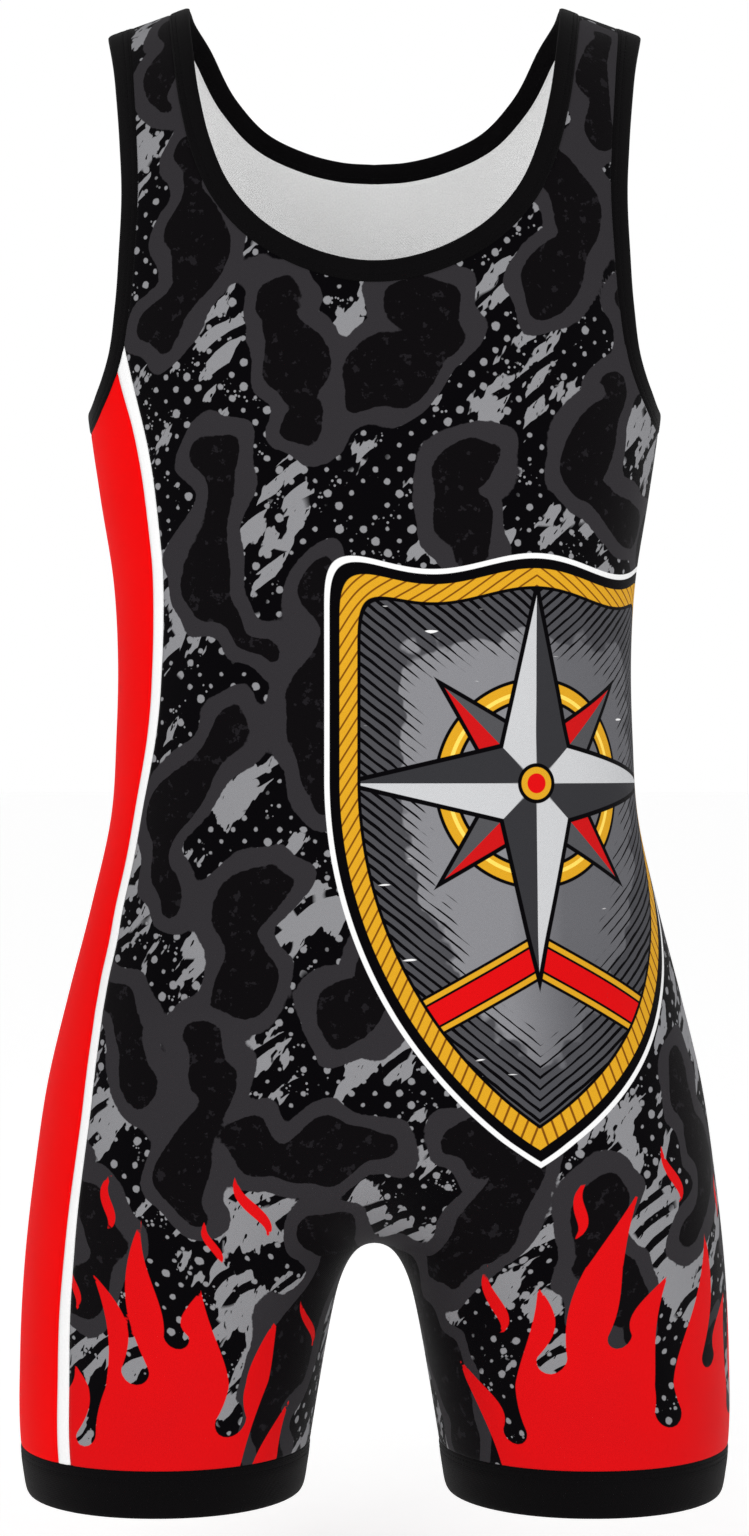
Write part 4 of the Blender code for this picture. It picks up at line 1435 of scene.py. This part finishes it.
tape_shares = np.linspace(0, 1, TAPE_COLUMNS + 1)
tape_lengths = tape_shares * (BINDING_WIDTH + TAPE_LAP)
tape_thick = crowned(tape_shares, TAPE_HALF, STITCH_ROWS)
neck_parts = {}
arm_parts = {}
for face in ("front", "back"):
    yoke = yokes[face, "left"]
    neck_parts[face] = edge_tape(yoke.neck, yoke.neck_seam, NECK_ROWS[face])
    arm_parts[face] = edge_tape(yoke.arm, yoke.arm_seam, ARMHOLE_ROWS)
neck_half = joined(neck_parts["front"], neck_parts["back"][::-1])
neck_loop = looped([neck_half, (neck_half * mirror)[::-1]])
neck_binding = tape("neck_binding_tape", neck_loop, tape_thick, black, tape_lengths)
arm_loop = looped([arm_parts["front"], arm_parts["back"][::-1]])
arm_loops = {"left": arm_loop, "right": arm_loop * mirror}
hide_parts("neck_binding")
arm_bindings = {}
for side in sides:
    name = "armhole_binding_tape_" + side
    arm_bindings[side] = tape(name, arm_loops[side], tape_thick, black, tape_lengths)
    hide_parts("armhole_binding_" + side)
for binding in (neck_binding, *arm_bindings.values()):
    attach(binding, "root")


# The leg bands: wide black elastic, folded to the inside round each leg's hem.

BAND_HALF = 0.00125
BAND_COLUMNS = 30
BAND_ROWS = 100
BAND_STITCH_ROWS = (0.10, 0.20)


def band_loop():
    """Lines down the left leg band, all round the leg."""
    rows = []
    for level in np.linspace(BAND_TOP - TAPE_LAP, HEM, BAND_COLUMNS + 1):
        parts = []
        for face in ("front", "back"):
            length = runs_along(half_section(float(level))[face])[-1]
            parts.append(stations(face, np.linspace(0, length, BAND_ROWS + 1), float(level)))
        rows.append(looped([parts[0], parts[1][::-1]]))
    return np.stack(rows, axis=1)


band_shares = np.linspace(0, 1, BAND_COLUMNS + 1)
band_lengths = band_shares * (HEM - BAND_TOP + TAPE_LAP)
band_thick = crowned(band_shares, BAND_HALF, BAND_STITCH_ROWS)

elastic = plain_knit("black_elastic", *black_shades, 0.62, 0.0010, 0.0021, 0.9, sheen=0.03)
left_band = band_loop()
band_loops = {"left": left_band, "right": left_band * mirror}
bands = {}
for side in sides:
    name = "leg_band_" + side
    bands[side] = tape(name, band_loops[side], band_thick, elastic, band_lengths)
    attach(bands[side], "root")
    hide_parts("hem_band_" + side)


# The stitches: black thread in two rows along each binding and each leg band, on both faces,
# which holds the folded tape to the panels. Each stitch dips into the tape at both ends.

# How far apart the stitches lie, half their length, width and height, and how high their middles
# lie above the tape
STITCH_PITCH = 0.0028
STITCH_SIZE = (0.00125, 0.00021, 0.00017)
THREAD_ABOVE = 0.00004


def stitch_maker():
    """The nodes that set stitches along lines, and the names of their inputs."""
    tree = bpy.data.node_groups.new("stitches_along_lines", "GeometryNodeTree")
    tree.interface.new_socket("Lines", in_out="INPUT", socket_type="NodeSocketGeometry")
    kinds = {"Pitch": "Float", "Size": "Vector", "Seed": "Int", "Thread": "Material"}
    names = {}
    for name, kind in kinds.items():
        kind = "NodeSocket" + kind
        socket = tree.interface.new_socket(name, in_out="INPUT", socket_type=kind)
        names[name] = socket.identifier
    tree.interface.new_socket("Stitches", in_out="OUTPUT", socket_type="NodeSocketGeometry")

    def add(kind, values, **settings):
        node = tree.nodes.new(kind)
        for name, setting in settings.items():
            setattr(node, name, setting)
        for name, value in values.items():
            if isinstance(value, bpy.types.NodeSocket):
                tree.links.new(value, node.inputs[name])
            else:
                node.inputs[name].default_value = value
        return node.outputs

    given = add("NodeGroupInput", {})
    lines = add("GeometryNodeMeshToCurve", {"Mesh": given["Lines"]})[0]
    spaced = {"Curve": lines, "Length": given["Pitch"]}
    places = add("GeometryNodeResampleCurve", spaced, mode="LENGTH")[0]
    tangent = add("GeometryNodeInputTangent", {})[0]
    out = {"Name": "out"}
    out = add("GeometryNodeInputNamedAttribute", out, data_type="FLOAT_VECTOR")[0]
    turn = "FunctionNodeAlignRotationToVector"
    along = add(turn, {"Vector": tangent}, axis="X")[0]
    upright = {"Rotation": along, "Vector": out}
    upright = add(turn, upright, axis="Z", pivot_axis="X")[0]
    uneven = {0: (0.86, 0.9, 0.9), 1: (1.0, 1.1, 1.1), "Seed": given["Seed"]}
    uneven = add("FunctionNodeRandomValue", uneven, data_type="FLOAT_VECTOR")[0]
    size = {0: uneven, 1: given["Size"]}
    size = add("ShaderNodeVectorMath", size, operation="MULTIPLY")[0]
    grain = {"Segments": 6, "Rings": 4, "Radius": 1.0}
    grain = add("GeometryNodeMeshUVSphere", grain)[0]
    laid = {"Points": places, "Instance": grain, "Rotation": upright, "Scale": size}
    laid = add("GeometryNodeInstanceOnPoints", laid)[0]
    real = add("GeometryNodeRealizeInstances", {"Geometry": laid})[0]
    done = {"Geometry": real, "Material": given["Thread"]}
    done = add("GeometryNodeSetMaterial", done)[0]
    add("NodeGroupOutput", {"Stitches": done})
    return tree, names


def stitched(name, grid, thick, rows, seed):
    """Adds the stitches on both faces of a tape, along rows at shares of its width."""
    normal = facing(grid)
    mesh = bpy.data.meshes.new(name)
    points = []
    ways = []
    edges = []
    for share in rows:
        place = share * (grid.shape[1] - 1)
        k = int(place)
        f = place - k
        middle = grid[:, k] * (1 - f) + grid[:, k + 1] * f
        out = normal[:, k] * (1 - f) + normal[:, k + 1] * f
        half = thick[k] * (1 - f) + thick[k + 1] * f + THREAD_ABOVE
        count = len(middle)
        for way in (1, -1):
            first = len(points)
            points += (middle + way * half * out).tolist()
            ways += (way * out).tolist()
            edges += [(first + i, first + (i + 1) % count) for i in range(count)]
    mesh.from_pydata(points, edges, [])
    mesh.attributes.new("out", "FLOAT_VECTOR", "POINT").data.foreach_set("vector", sum(ways, []))
    piece = added(name, mesh)
    maker = piece.modifiers.new("Stitches", "NODES")
    maker.node_group = stitch_nodes
    given = {"Pitch": STITCH_PITCH, "Size": STITCH_SIZE, "Seed": seed, "Thread": thread.material}
    for key, value in given.items():
        maker[stitch_inputs[key]] = value
    graph = bpy.context.evaluated_depsgraph_get()
    made = bpy.data.meshes.new_from_object(piece.evaluated_get(graph), depsgraph=graph)
    piece.modifiers.clear()
    piece.data = made
    made.shade_smooth()
    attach(piece, "root")
    return piece


thread = Finish("black_thread", 0.5)
place = thread.node("TexCoord", {}, out="Object")
thread.heather(place, dye(10, 9, 10), dye(26, 25, 27))
stitch_nodes, stitch_inputs = stitch_maker()
stitches = stitched("neck_stitches", neck_loop, tape_thick, STITCH_ROWS, 1)
for side in sides:
    name = "armhole_stitches_" + side
    stitches = stitched(name, arm_loops[side], tape_thick, STITCH_ROWS, 2)
    name = "leg_band_stitches_" + side
    stitches = stitched(name, band_loops[side], band_thick, BAND_STITCH_ROWS, 3)


# The studio: a wide pale floor, soft light from all round and from the front, and the camera.

# The floor's height and reach, the camera's distance and height, and how much it sees upright
FLOOR = -0.90
REACH = 60.0
AWAY = 1.7
EYE_LEVEL = -0.416
VIEW_HEIGHT = 0.8448
WHITE_LIGHT = (1.0, 1.0, 1.0, 1.0)

paper = Finish("studio_paper", 0.9)
grain = paper.speckle(paper.node("TexCoord", {}, out="Object"), 40.0)
paper.paint(paper.mix(grain, CHALK, dye(242, 242, 242)))
paper.shader.inputs["Emission Color"].default_value = WHITE_LIGHT
paper.shader.inputs["Emission Strength"].default_value = 0.44
sweep = bpy.data.meshes.new("floor")
corners = ((-1, -1), (1, -1), (1, 1), (-1, 1))
sweep.from_pydata([(x * REACH, y * REACH, FLOOR) for x, y in corners], [], [(0, 1, 2, 3)])
sweep.materials.append(paper.material)
added("floor", sweep)

world = bpy.data.worlds.new("studio")
bpy.context.scene.world = world
world.use_nodes = True
sky = world.node_tree.nodes["Background"]
seen = world.node_tree.nodes.new("ShaderNodeLightPath")
strength = world.node_tree.nodes.new("ShaderNodeMapRange")
strength.inputs["To Min"].default_value = 0.63
strength.inputs["To Max"].default_value = 1.0
world.node_tree.links.new(seen.outputs["Is Camera Ray"], strength.inputs["Value"])
world.node_tree.links.new(strength.outputs["Result"], sky.inputs["Strength"])
sky.inputs["Color"].default_value = WHITE_LIGHT
bpy.context.scene.view_settings.view_transform = "Standard"


def lamp(name, place, target, size, power):
    """A soft square light."""
    light = bpy.data.lights.new(name, "AREA")
    light.size = size
    light.energy = power
    thing = added(name, light)
    thing.location = place
    way = np.array(target) - np.array(place)
    tilt = math.acos(-way[2] / np.linalg.norm(way))
    thing.rotation_euler = (tilt, 0.0, math.atan2(way[1], way[0]) - math.pi / 2)


lamp("key", (-1.1, -2.4, 0.5), (0.0, 0.0, -0.35), 1.4, 18.0)
lamp("fill", (1.3, -2.2, 0.1), (0.0, 0.0, -0.40), 1.4, 13.0)

camera = bpy.data.cameras.new("camera")
camera.sensor_fit = "VERTICAL"
camera.sensor_height = 36.0
camera.lens = camera.sensor_height * AWAY / VIEW_HEIGHT
eye = added("camera", camera)
eye.location = (0.0, -AWAY, EYE_LEVEL)
eye.rotation_euler = (math.pi / 2, 0.0, 0.0)
bpy.context.scene.camera = eye
